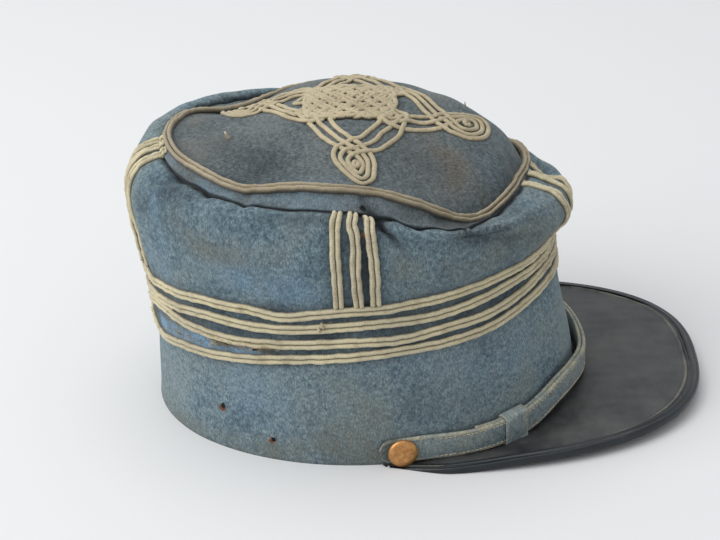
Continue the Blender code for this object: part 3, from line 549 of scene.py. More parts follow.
def mark_values(kind, across, along, table):
    # Strength of one kind of mark, at places in mm from each mark's middle
    total = 0.0
    for mark, middle, height, turn, length, width, strength in table:
        if mark == kind:
            c, s = math.cos(math.radians(turn)), math.sin(math.radians(turn))
            x, y = across(middle), along(height)
            near = np.exp(-((x * c + y * s) / length) ** 2 - ((y * c - x * s) / width) ** 2)
            total = total + strength * near
    return total


def upright_reach(name):
    # Half size of the oval that an upright braid's sideways places are measured by
    return HALF_WIDTH if name in ("front", "back") else HALF_LENGTH


def wall_marks(angle, level):
    place = smooth_wall(angle, level)
    z = place[..., 2] / MM

    def across(middle):
        return turn_between(angle, middle) * MM_PER_DEGREE

    def along(height):
        return z - height

    marks = {kind: mark_values(kind, across, along, WALL_MARKS) + 0.0 * z for kind in MARK_KINDS}
    marks["soil"] += 0.9 * bell(z, 5.0)
    # Darker beside the braids and between the rows, as dust and painted shade, and painted
    # shade in the seam
    near = 0.0
    for row in BRAID_ROWS:
        near = np.maximum(near, bell(level - row, 0.15))
    between = np.clip((level - 2.95) / 0.1, 0, 1) * np.clip((4.05 - level) / 0.1, 0, 1)
    # Moths have laid bare bright cloth between the two lowest rows at the back right
    turn = np.degrees(angle) % 360
    bare = ease(turn, 113, 122) * (1 - ease(turn, 156, 163)) * bell(level - 3.18, 0.13)
    marks["fade"] += 1.3 * bare
    uneven = ripple(angle * PATTERN_RADIUS, z * MM, 14, 0.016)
    braid_dust_and_shade = (0.62 + 0.16 * uneven) * np.maximum(near, between)
    marks["dark"] += braid_dust_and_shade * (1 - np.clip(1.3 * bare, 0, 0.95))
    away = seam_away(angle, level)
    depth = seam_depth(angle)
    # Painted shade in the seam's groove, wider below where the groove is deeper
    marks["dark"] += 1.2 * np.where(away <= 0, bell(away, 0.4 + 0.4 * depth), bell(away, 0.4))
    # Painted shade beside the upright braids, from the top row up to the seam
    for name, degrees in (("front", 9), ("right", 90), ("back", 174), ("left", 270)):
        for number in (-1, 0, 1):
            apart = math.degrees(number * UPRIGHT_PITCH / upright_reach(name))
            distance = turn_between(angle, degrees + apart)
            side = bell(distance * 1.5, 2.6) * np.clip((level - 3.9) / 0.2, 0, 1)
            marks["dark"] += 0.6 * side * np.clip((SEAM + 0.1 - level) / 0.2, 0, 1)
    # Painted shade on the margin just below the ring braid
    margin = np.clip((level - SEAM) / 0.1, 0, 1)
    marks["dark"] += 0.35 * margin * bell(level - RING, 0.25)
    return marks


# Cloth pieces

def climb(points):
    # Length up the cloth of each place of a grid, so that the nap isn't stretched
    steps = np.linalg.norm(np.diff(points, axis=0), axis=-1)
    return np.concatenate([np.zeros_like(steps[:1]), np.cumsum(steps, 0)])


def cloth_loft(name, levels, columns, material, node):
    angle, level = np.meshgrid(np.linspace(0, math.tau, columns + 1), levels)
    level = level + (seam_level(angle) - SEAM) * ease(level, 6.4, SEAM)
    points = wall(angle, level)
    points[:, -1] = points[:, 0]
    uvs = np.stack([angle * UV_RADIUS, climb(points)], -1)
    piece = mesh_piece(name, points, grid_faces(len(levels), columns + 1), uvs,
                       wall_marks(angle, level))
    weld(piece)
    thicken(piece, CLOTH)
    stand_on_floor(piece)
    return finish_piece(piece, material, (node,))


def make_band(material):
    levels = np.concatenate([np.linspace(0, 2.6, 26), np.linspace(2.66, BAND_TOP, 5)])
    return cloth_loft("band_cloth", levels, 360, material, "band")


def make_wall(material):
    levels = np.concatenate([np.linspace(BAND_TOP, 4.2, 22), np.linspace(4.26, 7.5, 40),
                             np.linspace(7.55, SEAM, 18)])
    return cloth_loft("wall_cloth", levels, 500, material, "side_wall")


def make_crown(material):
    # The margin from the seam up to the ring, then the top inside the ring
    columns = 360
    turns = np.linspace(0, math.tau, columns + 1)
    levels = np.concatenate([np.linspace(SEAM, 8.16, 6), np.linspace(8.22, RING, 14)])
    angle, level = np.meshgrid(turns, levels)
    seam = seam_level(angle)
    level = seam + (level - SEAM) * (RING - seam)
    margin = wall(angle, level)
    marks = wall_marks(angle, level)
    marks["fade"] += 0.75 * ease(np.degrees(angle), 62, 100)
    ratios = np.concatenate([np.linspace(0.985, 0.60, 30), np.linspace(0.58, 0.03, 22)])
    top_angle, ratio = np.meshgrid(turns, ratios)
    x, y = ring_plan(top_angle, ratio)
    top = crown(x, y)
    top_marks = {kind: mark_values(kind, lambda m: x / MM - m, lambda m: y / MM - m, CROWN_MARKS)
                 + 0.0 * x for kind in MARK_KINDS}
    # Painted shade on the top just inside the ring braid
    top_marks["dark"] += 0.5 * bell((1 - ratio) * 75, 3.2)
    points = np.concatenate([margin, top])
    points[:, -1] = points[:, 0]
    uvs = np.concatenate([np.stack([angle * UV_RADIUS, climb(margin)], -1),
                          np.stack([x + 1.0, y], -1)])
    rows = len(points)
    faces = grid_faces(rows, columns + 1)
    middle = rows * (columns + 1)
    last = (rows - 1) * (columns + 1)
    faces += [(last + c, middle, last + c + 1) for c in range(columns)]
    points = np.concatenate([points.reshape(-1, 3), crown(np.zeros(1), np.zeros(1))])
    uvs = np.concatenate([uvs.reshape(-1, 2), [[1.0, 0.0]]])
    merged = {kind: np.concatenate([marks[kind].ravel(), top_marks[kind].ravel(), [0.0]])
              for kind in marks}
    piece = mesh_piece("crown_cloth", points, faces, uvs, merged)
    weld(piece)
    thicken(piece, CLOTH)
    return finish_piece(piece, material, ("crown_top",))


# Braids and cords

def sides_along(points, outs, closed):
    # Side vectors of a path on a surface
    if closed:
        along = np.roll(points, -1, 0) - np.roll(points, 1, 0)
    else:
        along = np.gradient(points, axis=0)
    side = np.cross(outs, along)
    side /= np.maximum(np.linalg.norm(side, axis=1, keepdims=True), 1e-12)
    return side


RIB_POINTS = 8


def ribbed_section(ribs):
    # Section of a braid from edge to edge: across from -1 to 1 and rise from 0 to 1
    across, rise = [], []
    for rib in range(ribs):
        for i in range(RIB_POINTS + (rib == ribs - 1)):
            part = i / RIB_POINTS
            across.append(-1 + 2 * (rib + part) / ribs)
            rise.append(0.10 + 0.90 * max(0.0, 1 - (2 * part - 1) ** 2) ** 0.62)
    rise[0] = rise[-1] = 0.0
    return np.array(across), np.array(rise)


def sweep(name, points, outs, width, rise, ribs, closed, seed, depth=0.0004, loose=1.0):
    # Ribbed flat cord laid on a surface, with the small unevenness of hand-sewn work
    points, outs = np.asarray(points, float), np.asarray(outs, float)
    steps = len(points)
    run = run_along(points)
    total = run[-1] + (np.linalg.norm(points[0] - points[-1]) if closed else 0)
    side = sides_along(points, outs, closed)
    wave = run / total * math.tau
    local = random.Random(seed)

    def uneven(pitch):
        value, count = 0.0, 5
        for _ in range(count):
            turns = max(1, round(total / (pitch * local.uniform(0.6, 1.6))))
            value = value + np.sin(wave * turns + local.uniform(0, math.tau))
        return value / count ** 0.5

    shift = uneven(0.030) * 0.00016 * loose + uneven(0.009) * 0.00007 * loose
    swell = 1 + 0.035 * uneven(0.012) * loose + 0.03 * uneven(0.004)
    lift = 1 + 0.06 * uneven(0.014) + 0.05 * uneven(0.0045)
    across, height = ribbed_section(ribs)
    rib_lift = [1 + 0.07 * uneven(0.010) + 0.05 * uneven(0.0035) for _ in range(ribs)]
    rows = []
    for i, (a, h) in enumerate(zip(across, height)):
        rib = min(i // RIB_POINTS, ribs - 1)
        foot = depth if h == 0 else 0
        rows.append(points + side * (a * width / 2 * swell + shift)[:, None]
                    + outs * (h * rise * lift * rib_lift[rib] - foot)[:, None])
    rows.append(points + side * shift[:, None] - outs * depth)
    ring = np.stack(rows, 1)
    count = ring.shape[1]
    u = np.repeat(run[:, None], count, 1)
    v = np.repeat(np.append((across + 1) / 2 * ribs, 0.0)[None], steps, 0)
    # Lowness across the section; the braid material paints it as dust and painted shade in the
    # grooves and along the edges
    edge = np.repeat(np.append(1 - height, 1.0)[None], steps, 0)
    piece = mesh_piece(name, ring, tube_faces(steps, count, closed), np.stack([u, v], -1),
                       {"edge": edge})
    face_outwards(piece)
    return piece


# Turns of a closed braid's stations
STATIONS = np.linspace(0, math.tau, 420, endpoint=False)


def braid_out(turns, level):
    # Outward direction under a braid, over steps about as long as it is wide
    return normals(wall, turns, level, 0.012, 0.05)


def make_level_braids(material):
    turns = STATIONS
    for number, row in enumerate(BRAID_ROWS, start=1):
        # The sewing wanders a little, most where the cloth has frayed
        wander = 0.018 * ripple(turns * PATTERN_RADIUS, turns * 0, 40 + number, 0.05)
        for shifted, middle, spread, shift in ROW_SHIFTS:
            if shifted == number:
                wander = wander + shift * bell(turn_between(turns, middle), spread)
        level = row + wander
        piece = sweep(f"band_braid_{number}_cord", wall(turns, level), braid_out(turns, level),
                      LEVEL_BRAID_WIDTH, BRAID_RISE, 2, True, 50 + number)
        finish_piece(piece, material, (f"band_braid_{number}",))


def make_crown_braid(material):
    # It lies across the edge between the top and the margin
    turns = STATIONS
    level = np.full_like(turns, RING)
    points = smooth_wall(turns, level)
    inner = crown(*ring_plan(turns, 0.965))
    outer = wall(turns, level - 0.2)
    along = np.roll(points, -1, 0) - np.roll(points, 1, 0)
    outs = np.cross(outer - inner, along)
    outs *= np.sign(outs[:, 2:3])
    outs /= np.linalg.norm(outs, axis=1, keepdims=True)
    piece = sweep("crown_braid_cord", points + outs * 0.0005, outs, BRAID_WIDTH, 0.0019, 2, True,
                  61, depth=0.001)
    finish_piece(piece, material, ("crown_braid",))


# Groups of upright braids: angle of the middle one at its foot and head, and top level
UPRIGHTS = (
    ("front", 10.0, 4.0, 8.72),
    ("right", 89.6, 90.4, 7.98),
    ("back", 169.0, 175.0, 8.60),
    ("left", 270.0, 270.0, 7.96),
)


def make_upright_braids(material):
    for name, foot, head, top in UPRIGHTS:
        pitch = UPRIGHT_PITCH / upright_reach(name)
        for number in (1, 2, 3):
            level = np.linspace(BRAID_ROWS[0] + 0.14, top, 64)
            rise = (level - level[0]) / (top - level[0])
            # The front group fans out at its head
            spread = {"front": 1.15 + 1.05 * rise, "back": 1.0}.get(name, 1.06 - 0.12 * rise)
            turns = (np.radians(foot + (head - foot) * rise)
                     + (number - 2) * pitch * spread)
            turns = turns + 0.003 * ripple(level * 0.01, level * 0, 70 + number + foot, 0.02)
            piece = sweep(f"{name}_braid_{number}_cord", wall(turns, level),
                          braid_out(turns, level), UPRIGHT_WIDTH, BRAID_RISE, 2, False,
                          80 + number + int(foot), loose=1.2)
            finish_piece(piece, material, (f"{name}_braid_{number}",))


# The crown knot's strands, as plan places in mm from the rim's middle
NEAR_LOBE = (
    ((-4, 15), (-9, 12), (-18, 8), (-24, 3), (-28, -1), (-31.5, -5), (-36, -8.2), (-42, -8.8),
     (-48, -8.4), (-52.3, -6.4), (-53.8, -3.8), (-52, -0.5), (-48, 2.6), (-42, 6.9),
     (-37, 9.2), (-33, 8.9), (-30, 6), (-27, 1.5), (-24, -3), (-19, -7), (-13, -11), (-7, -14)),
    ((-1, 21), (-6, 19), (-13, 16), (-19, 12), (-25, 8), (-30, 2.5), (-33, -2.5), (-37, -5.5),
     (-42, -6.1), (-47, -5.7), (-50, -4), (-49.5, -1.8), (-46, 0.9), (-41.5, 4.2),
     (-37.5, 6.2), (-34, 5), (-31.5, 1), (-29, -4), (-25.5, -9), (-20, -12.5), (-15, -16.5),
     (-9, -20)),
    ((-2, 27), (-6, 25), (-12, 21), (-18, 17.5), (-24, 14), (-30, 8), (-33, 3.5), (-36, -1.2),
     (-39.5, -3.3), (-43.5, -3.4), (-46.4, -2.3), (-45.5, -0.6), (-43, 1.2), (-39.5, 2.9),
     (-36.5, 2.2), (-34, -1.5), (-32, -7.5), (-29.5, -12.5), (-24, -17), (-19, -20.3),
     (-13, -22), (-7, -23)),
)
FRONT_LOBE = (
    ((13, -19), (9, -25), (3, -29), (-3, -32.5), (-8, -36.5), (-12, -41), (-13.9, -46),
     (-13.4, -52), (-10.3, -57), (-5, -60), (1.5, -60.6), (6.5, -58.5), (7.2, -55), (4.4, -50),
     (1.5, -45), (-1, -40.5), (-4, -36.5), (-6, -32), (-7, -27), (-9, -21), (-10, -15)),
    ((16, -21), (12, -27), (6, -31.5), (0, -35.5), (-6, -40), (-9.5, -44), (-11.2, -48),
     (-10.5, -52.6), (-7.2, -56), (-3, -57.8), (1.4, -57.8), (4.4, -56.2), (3.8, -53),
     (0.8, -47.8), (-3, -42.5), (-7.5, -37.5), (-10.5, -31), (-11, -25), (-12, -19),
     (-12, -13)),
    ((19, -22), (15, -28), (10, -33), (4, -37), (-1, -41), (-5.3, -44.5), (-8.3, -48.2),
     (-7.7, -51.7), (-4.8, -54.4), (-1.2, -55.2), (1.3, -54.2), (0.8, -51.4), (-2.3, -47.5),
     (-7, -43), (-11.5, -39.5), (-14, -34), (-15.3, -28), (-15.5, -22), (-14, -16)),
)

# The woven mat at the knot's middle, and the strands' step between stations, in mm
MAT_MIDDLE, MAT_HALF_WIDTH, MAT_HALF_LENGTH = (4.5, 2.5), 15.6, 21.5
MAT_RUNS_ACROSS, MAT_RUNS_ALONG = 13, 9
STRAND_STEP, MAT_STEP = 0.8, 0.85
CORD_WIDTH, CORD_RISE = 0.0028, 0.0013
# Small rings at the middles of the lobes: place and half sizes in mm
LOBE_CURLS = (
    (-41.2, -0.6, 1.7, 1.0), (43.0, 0.4, 1.7, 1.0), (-3.4, -50.6, 1.6, 1.1), (17.8, 53.6, 1.6, 1.1),
)


def curl(x, y, across, along):
    # Small closed ring at the middle of a lobe
    turns = np.linspace(0, math.tau, 9)
    return tuple((x + across * math.cos(t), y + along * math.sin(t)) for t in turns)


def smooth_path(path):
    # Even stations along a smooth curve through the path's places
    path = np.asarray(path, float)
    count = len(path)
    fine = np.linspace(0, count - 1, count * 14)
    x, y = spline(path[:, 0], fine), spline(path[:, 1], fine)
    run = run_along(np.stack([x, y], -1))
    marks = np.linspace(0, run[-1], max(4, int(run[-1] / STRAND_STEP)))
    return np.stack([np.interp(marks, run, x), np.interp(marks, run, y)], -1)


def mat_path():
    # Closed path of the woven mat: straight runs that turn back at an oval's edges
    t = np.linspace(0, 1, 2600, endpoint=False)

    def zigzag(phase):
        return 2 * np.abs(2 * (phase - np.floor(phase + 0.5))) - 1

    def eased(values):
        # Rounds the turns of a closed run
        wrap = 40
        window = np.hanning(25)
        window /= window.sum()
        around = np.concatenate([values[-wrap:], values, values[:wrap]])
        return np.convolve(around, window, "same")[wrap:-wrap]

    # The sine spreads the runs more evenly, and the bulge rounds the mat's corners
    spread, bulge = 1.25, 0.10
    x, y = zigzag(MAT_RUNS_ACROSS * t + 0.13), zigzag(MAT_RUNS_ALONG * t)
    x, y = np.sin(x * spread) / math.sin(spread), np.sin(y * spread) / math.sin(spread)
    x, y = (MAT_MIDDLE[0] + MAT_HALF_WIDTH * x * (1 - bulge * y ** 2),
            MAT_MIDDLE[1] + MAT_HALF_LENGTH * y * (1 - bulge * x ** 2))
    mat = np.stack([eased(x), eased(y)], -1)
    run = run_along(mat)
    marks = np.arange(0, run[-1], MAT_STEP)
    return np.stack([np.interp(marks, run, mat[:, 0]), np.interp(marks, run, mat[:, 1])], -1)


def tucked(path):
    # The ends of a lobe's strand run in under the woven mat
    path = np.array(path, float)
    ends = path[[0, -1]] + (np.array(MAT_MIDDLE) - path[[0, -1]]) * 0.38
    return np.concatenate([ends[:1], path, ends[1:]])


def leaned(x, y):
    # The back lobe mirrors the front one and leans away to the wearer's left
    share = min(1.0, max(0.0, (-y - 12) / 22))
    return x + share * (12 - (y + 20) * 0.30), 3 - y


def knot_strands():
    strands = []
    for path in NEAR_LOBE:
        strands.append(tucked(path))
        strands.append(tucked([(5 - 0.92 * x, 1 + y) for x, y in path]))
    for path in FRONT_LOBE:
        strands.append(tucked(path))
        strands.append(tucked([leaned(x, y) for x, y in path]))
    strands += [curl(*place) for place in LOBE_CURLS]
    return [smooth_path(path) for path in strands]


def crossings(paths):
    # Places where strands cross in plan: pairs of a path's number and its station
    starts = np.concatenate([path[:-1] for path in paths])
    ends = np.concatenate([path[1:] for path in paths])
    owner = np.concatenate([np.full(len(path) - 1, i) for i, path in enumerate(paths)])
    station = np.concatenate([np.arange(len(path) - 1) for path in paths])
    found = []
    d = ends - starts
    for i in range(len(starts)):
        rest = slice(i + 2, None)
        e, s = d[rest], starts[rest] - starts[i]
        cross = d[i, 0] * e[:, 1] - d[i, 1] * e[:, 0]
        safe = np.where(np.abs(cross) < 1e-9, 1e9, cross)
        t = (s[:, 0] * e[:, 1] - s[:, 1] * e[:, 0]) / safe
        u = (s[:, 0] * d[i, 1] - s[:, 1] * d[i, 0]) / safe
        for k in np.nonzero((t >= 0) & (t < 1) & (u >= 0) & (u < 1))[0]:
            j = i + 2 + k
            found.append(((owner[i], station[i]), (owner[j], station[j])))
    return found


def strand_lifts(paths):
    # Lift of each strand in mm along its path. At each crossing one strand goes over, turn
    # and turn about along each strand.
    found = crossings(paths)
    over, along = {}, {}
    for number, pair in enumerate(found):
        for side in (0, 1):
            along.setdefault(pair[side][0], []).append((pair[side][1], number, side))
    for owner in sorted(along):
        flip = 0
        for station, number, side in sorted(along[owner]):
            if number in over:
                flip = 1 - (over[number] == side)
                continue
            over[number] = side if flip == 0 else 1 - side
            flip = 1 - flip
    lifts = [np.zeros(len(path)) for path in paths]
    for number, pair in enumerate(found):
        owner, station = pair[over[number]]
        distance = (np.arange(len(paths[owner])) - station) * STRAND_STEP
        lifts[owner] = np.maximum(lifts[owner], 0.70 * bell(distance, 1.7))
    return lifts


def make_knot(material):
    paths = knot_strands() + [mat_path()]
    made = []
    for number, (path, lift) in enumerate(zip(paths, strand_lifts(paths))):
        x, y = path[:, 0] * MM, path[:, 1] * MM
        outs = crown_out(x, y)
        # The mat lies on the arms' ends
        bed = 0.35 * MM if number == len(paths) - 1 else 0.0
        points = crown(x, y) + outs * (lift * MM + bed)[:, None]
        made.append(sweep(f"knot_strand_{number + 1}", points, outs, CORD_WIDTH, CORD_RISE, 1,
                          False, 200 + number, depth=0.0003, loose=0.8))
    # All strands are one piece that stands for the knot's solid
    bpy.ops.object.select_all(action="DESELECT")
    for strand in made:
        strand.select_set(True)
    bpy.context.view_layer.objects.active = made[0]
    bpy.ops.object.join()
    knot = bpy.context.view_layer.objects.active
    knot.name = "crown_knot_cord"
    finish_piece(knot, material, ("crown_knot",))


# Peak

PEAK_REACH, PEAK_WIDTH, PEAK_THICKNESS = 0.0588, 0.184, 0.0020
PEAK_CENTRE, PEAK_CAMBER, PEAK_SQUARENESS = 0.0116, 0.0012, 2.6
PEAK_HORN_LIFT, PEAK_SEAM_RISE, PEAK_TIP_RISE, PEAK_EDGE_LIFT = 0.0012, 0.0058, 0.0042, 0.0018
# The seam lies lower at the front than the strap
PEAK_FRONT_DROP, STRAP_FRONT_DROP = 0.0026, 0.0045
PEAK_SIDE_DROP, STRAP_SIDE_DROP, PEAK_HORN_DROP = 0.0027, 0.0042, 0.0016
PEAK_HORN_ANGLE, PEAK_OUTLINE_ANGLE, PEAK_SEAM_ANGLE = 84.6, 88, 60


def peak_inner(share):
    angle = share * math.radians(PEAK_HORN_ANGLE)
    fall = np.minimum(1.0, np.abs(angle) / math.radians(PEAK_SEAM_ANGLE))
    crest = np.maximum(0.0, np.cos(math.pi / 2 * fall)) ** 1.3
    seat = smooth_wall(angle, np.zeros_like(angle))
    out = seat / np.linalg.norm(seat, axis=-1, keepdims=True)
    place = seat + out * 0.0004
    place[..., 2] = PEAK_THICKNESS + PEAK_HORN_LIFT + PEAK_SEAM_RISE * crest
    return place


def side_drop(degrees):
    # The seam dips under the strap at the sides
    return ease(np.abs(degrees), 27, 45)


def peak_outer(share):
    angle = share * math.radians(PEAK_OUTLINE_ANGLE)
    across, along = np.sin(angle), np.cos(angle)
    power = 2 / PEAK_SQUARENESS
    x = -np.sign(across) * np.abs(across) ** power * PEAK_WIDTH / 2
    y = -PEAK_CENTRE - (HALF_LENGTH + PEAK_REACH - PEAK_CENTRE) * along ** power
    z = PEAK_THICKNESS + PEAK_EDGE_LIFT + PEAK_TIP_RISE * (1 - np.abs(share) ** 3)
    return np.stack([x, y, z], -1)


def peak_surface(share, inset):
    # Place on the peak's top face, an inset in metres in from the edge, and the reach
    inner, outer = peak_inner(share), peak_outer(share)
    inner[..., 2] -= (PEAK_SIDE_DROP * side_drop(share * PEAK_HORN_ANGLE)
                      + PEAK_FRONT_DROP * bell(share * PEAK_HORN_ANGLE, 30))
    # The horns round off against the band
    tuck = ease(np.abs(share), 0.945, 1.0)[..., None] * 0.80
    outer = outer * (1 - tuck) + inner * tuck
    outer[..., 2] -= PEAK_HORN_DROP * ease(np.abs(share), 0.80, 0.97)
    reach = np.linalg.norm(outer - inner, axis=-1)
    across = 1 - np.minimum(inset / np.maximum(reach, 1e-6), 1.0)
    place = inner + (outer - inner) * across[..., None]
    camber = PEAK_CAMBER * np.sin(math.pi * across) ** 2 * np.minimum(1.0, reach / PEAK_REACH)
    place[..., 2] += camber
    return place, reach


def even_shares(count):
    # Shares that give even steps along the peak's edge
    fine = np.linspace(-1, 1, 2001)
    run = run_along(peak_outer(fine))
    return np.interp(np.linspace(0, run[-1], count), run, fine)


def make_peak(material):
    # A grid is added, and its rows are laid from the edge in to the band
    along, rows = 220, 64
    bpy.ops.object.select_all(action="DESELECT")
    bpy.ops.mesh.primitive_grid_add(x_subdivisions=along - 1, y_subdivisions=rows - 1, size=2)
    piece = bpy.context.object
    piece.name = "peak_leather"
    mesh = piece.data
    grid = np.zeros(len(mesh.vertices) * 3)
    mesh.vertices.foreach_get("co", grid)
    grid = grid.reshape(-1, 3)
    shares = even_shares(along)
    column = np.rint((grid[:, 0] + 1) / 2 * (along - 1)).astype(int)
    part = (grid[:, 1] + 1) / 2
    share = shares[np.clip(column, 0, along - 1)]
    _, reach = peak_surface(share, np.zeros_like(share))
    # Rows lie close together near the edge, where the leather is pressed
    fine, turn_in = 0.0095, 0.62
    near = part / turn_in * fine
    far = fine + (part - turn_in) / (1 - turn_in) * np.maximum(reach - fine, 0)
    inset = np.minimum(np.where(part < turn_in, near, far), reach * (0.04 + 0.96 * part))
    inset = np.where(part >= 1, reach, inset)
    place, _ = peak_surface(share, inset + 0.0010)
    mm = inset / MM
    # A groove, a ridge and a groove are pressed in along the edge
    press = (-0.55 * bell(mm - 3.7, 0.40) + 0.42 * bell(mm - 4.8, 0.45)
             - 0.30 * bell(mm - 5.9, 0.35))
    press = press + 0.10 * ripple(place[:, 0], place[:, 1], 31, 0.012)
    press = press + 0.30 * ripple(place[:, 0], place[:, 1], 33, 0.045)
    place[:, 2] += press * MM * np.clip(reach / 0.012, 0, 1)
    mesh.vertices.foreach_set("co", place.ravel())
    layer = mesh.attributes.new("inset", "FLOAT", "POINT")
    layer.data.foreach_set("value", inset)
    uv = mesh.uv_layers[0] if mesh.uv_layers else mesh.uv_layers.new(name="cloth")
    uv.name = "cloth"
    # Laying the rows from the edge inwards has turned the grid over
    mesh.flip_normals()
    thicken(piece, PEAK_THICKNESS)
    stand_on_floor(piece)
    return finish_piece(piece, material, ("peak",))


def make_binding(material):
    # A lacquered strip rolled over the peak's edge
    shares = even_shares(260)
    middle, _ = peak_surface(shares, np.full_like(shares, 0.0008))
    middle[:, 2] -= PEAK_THICKNESS / 2
    along = np.gradient(middle, axis=0)
    out = np.stack([-along[:, 1], along[:, 0], 0 * along[:, 0]], -1)
    out *= np.sign(np.sum(out * (middle + np.array([0, PEAK_CENTRE, 0])), -1))[:, None]
    out /= np.linalg.norm(out, axis=1, keepdims=True)
    half = PEAK_THICKNESS / 2
    # Section of the roll: out from the leather's edge and up from its middle
    section = [(-0.0034, -half - 0.0004), (-0.0030, -half - 0.0012), (-0.0012, -half - 0.0018),
               (0.0001, -half - 0.0018), (0.0009, -half - 0.0013), (0.0013, -half - 0.0004),
               (0.0013, half * 0.3), (0.0009, half * 0.9), (0.0001, half + 0.00025),
               (-0.0007, half - 0.0001), (-0.0013, half + 0.0006), (-0.0022, half + 0.0008),
               (-0.0029, half + 0.0005), (-0.0032, half - 0.0006), (-0.0020, 0.0)]
    rows = np.stack([middle + out * o + UP * h for o, h in section], 1)
    count, steps = len(section), len(shares)
    uvs = np.stack([np.repeat(run_along(middle)[:, None], count, 1),
                    np.repeat(np.arange(count)[None] / count, steps, 0)], -1)
    piece = mesh_piece("peak_binding_strip", rows, tube_faces(steps, count), uvs)
    face_outwards(piece)
    stand_on_floor(piece)
    return finish_piece(piece, material, ("peak_binding",))


# Chin strap

STRAP_WIDTH, STRAP_THICKNESS, STRAP_SEAT = 0.0125, 0.0016, 0.0006
STRAP_FOOT, STRAP_SAG, STRAP_FRONT_STAND = 0.0019, 0.0004, 0.0006
LOOP_THICKNESS, LOOP_WIDTH, STRAP_LEVEL = 0.0009, 0.0125, 0.4
GAP = 0.0003
BUTTON_DIAMETER, BUTTON_HEIGHT, BUTTON_ANGLE = 0.0137, 0.0036, 80


def strap_base(degrees):
    angle = np.radians(degrees)
    place = smooth_wall(angle, np.full_like(angle, STRAP_LEVEL))
    share = np.clip(degrees / PEAK_HORN_ANGLE, -1, 1)
    place[..., 2] = (peak_inner(share)[..., 2] + STRAP_FOOT
                     - STRAP_SIDE_DROP * side_drop(degrees))
    place[..., 2] -= STRAP_FRONT_DROP * bell(degrees, 11)
    return place


def strap_out(degrees):
    angle = np.radians(degrees)
    level = np.full_like(angle, STRAP_LEVEL)
    along = smooth_wall(angle + 0.01, level) - smooth_wall(angle - 0.01, level)
    out = np.stack([-along[..., 1], along[..., 0], 0 * along[..., 0]], -1)
    return out / np.linalg.norm(out, axis=-1, keepdims=True)


def under_offset(degrees):
    stand = LOOP_THICKNESS + 2 * GAP + STRAP_SAG - STRAP_SEAT
    return (STRAP_SEAT + stand * (1 - ease(np.abs(degrees), 52, 67))
            + STRAP_FRONT_STAND * bell(degrees, 20))


def over_offset(degrees):
    lifted = under_offset(degrees) + STRAP_THICKNESS + GAP
    return lifted + (STRAP_SEAT - lifted) * ease(degrees, 61, 76)


def make_strap(name, first, last, offset, seed, material, node):
    # Cloth strap with turned edges. Its button end is rounded and the other is square.
    degrees = np.linspace(first, last, 150)
    out = strap_out(degrees)
    middle = strap_base(degrees) + out * offset(degrees)[:, None]
    middle[:, 2] += STRAP_WIDTH / 2
    run = run_along(middle)
    end = run[-1] - run if abs(last) > abs(first) else run
    radius = STRAP_WIDTH / 2
    inside = np.clip(end, 0, radius)
    half = np.sqrt(np.maximum(radius ** 2 - (radius - inside) ** 2, (0.12 * radius) ** 2))
    half = half * (1 + 0.02 * ripple(run, run * 0, seed, 0.02))
    middle[:, 2] += 0.00025 * ripple(run, run * 0, seed + 1, 0.05)
    # Section: share of the half width, share of the thickness
    section = ((-1.0, 0.25), (-0.97, 0.75), (-0.90, 0.98), (-0.80, 1.0), (-0.72, 0.90),
               (-0.60, 0.98), (-0.3, 1.02), (0.0, 1.03), (0.3, 1.02), (0.60, 0.98), (0.72, 0.90),
               (0.80, 1.0), (0.90, 0.98), (0.97, 0.75), (1.0, 0.25), (0.96, 0.0), (0.0, 0.0),
               (-0.96, 0.0))
    rows = np.stack([middle + UP * (a * half)[:, None] + out * (t * STRAP_THICKNESS)
                     for a, t in section], 1)
    count, steps = len(section), len(degrees)
    uvs = np.stack([np.repeat(run[:, None], count, 1) + 2.0, rows[..., 2]], -1)
    zero = np.zeros((steps, count))
    edge = np.repeat(np.array([abs(a) > 0.75 for a, _ in section], float)[None], steps, 0)
    worn = edge * (0.52 + 0.25 * ripple(run, run * 0, seed + 2, 0.012))[:, None]
    # Painted shade and dirt darken the cloth round the button
    button_end_shade_and_dirt = np.repeat(bell(end - 0.004, 0.006)[:, None], count, 1)
    marks = {"soil": 0.4 + zero, "dark": 0.75 * button_end_shade_and_dirt, "fade": zero, "edge": worn * (1 - 0.6 * button_end_shade_and_dirt)}
    piece = mesh_piece(name, rows, tube_faces(steps, count), uvs, marks)
    face_outwards(piece)
    return finish_piece(piece, material, (node,))


def make_stitches(name, first, last, offset, seed, material):
    # One row of short stitches along each edge of a strap
    local = random.Random(seed)
    degrees = np.linspace(first, last, 400)
    out = strap_out(degrees)
    base = strap_base(degrees) + out * (offset(degrees) + STRAP_THICKNESS)[:, None]
    base[:, 2] += STRAP_WIDTH / 2
    run = run_along(base)
    pitch, length, thread, sides = 0.0021, 0.0015, 0.00021, 5
    # Shares of a stitch's length and its rise out of the cloth, in metres
    arch = ((0, -0.00015), (0.2, 0.0001), (0.5, 0.00016), (0.8, 0.0001), (1, -0.00015))
    points, faces = [], []
    for side in (-1, 1):
        start = pitch * 0.5
        while start + length < run[-1]:
            size = length * local.uniform(0.75, 1.1)
            height = side * 0.72 * STRAP_WIDTH / 2 + local.uniform(-0.0001, 0.0001)
            if local.random() > 0.08:
                spine = []
                for part, rise in arch:
                    at = start + size * part
                    here = np.array([np.interp(at, run, base[:, i]) for i in range(3)])
                    normal = np.array([np.interp(at, run, out[:, i]) for i in range(3)])
                    spine.append((here + normal * (rise - 0.00006) + [0, 0, height], normal))
                first_point = len(points)
                for place, normal in spine:
                    for t in range(sides):
                        a = math.tau * t / sides
                        points.append(place + normal * thread * math.cos(a)
                                      + UP * thread * math.sin(a))
                faces += thread_faces(first_point, len(arch), sides)
            start += pitch
    piece = mesh_piece(name, points, faces)
    return finish_piece(piece, material)


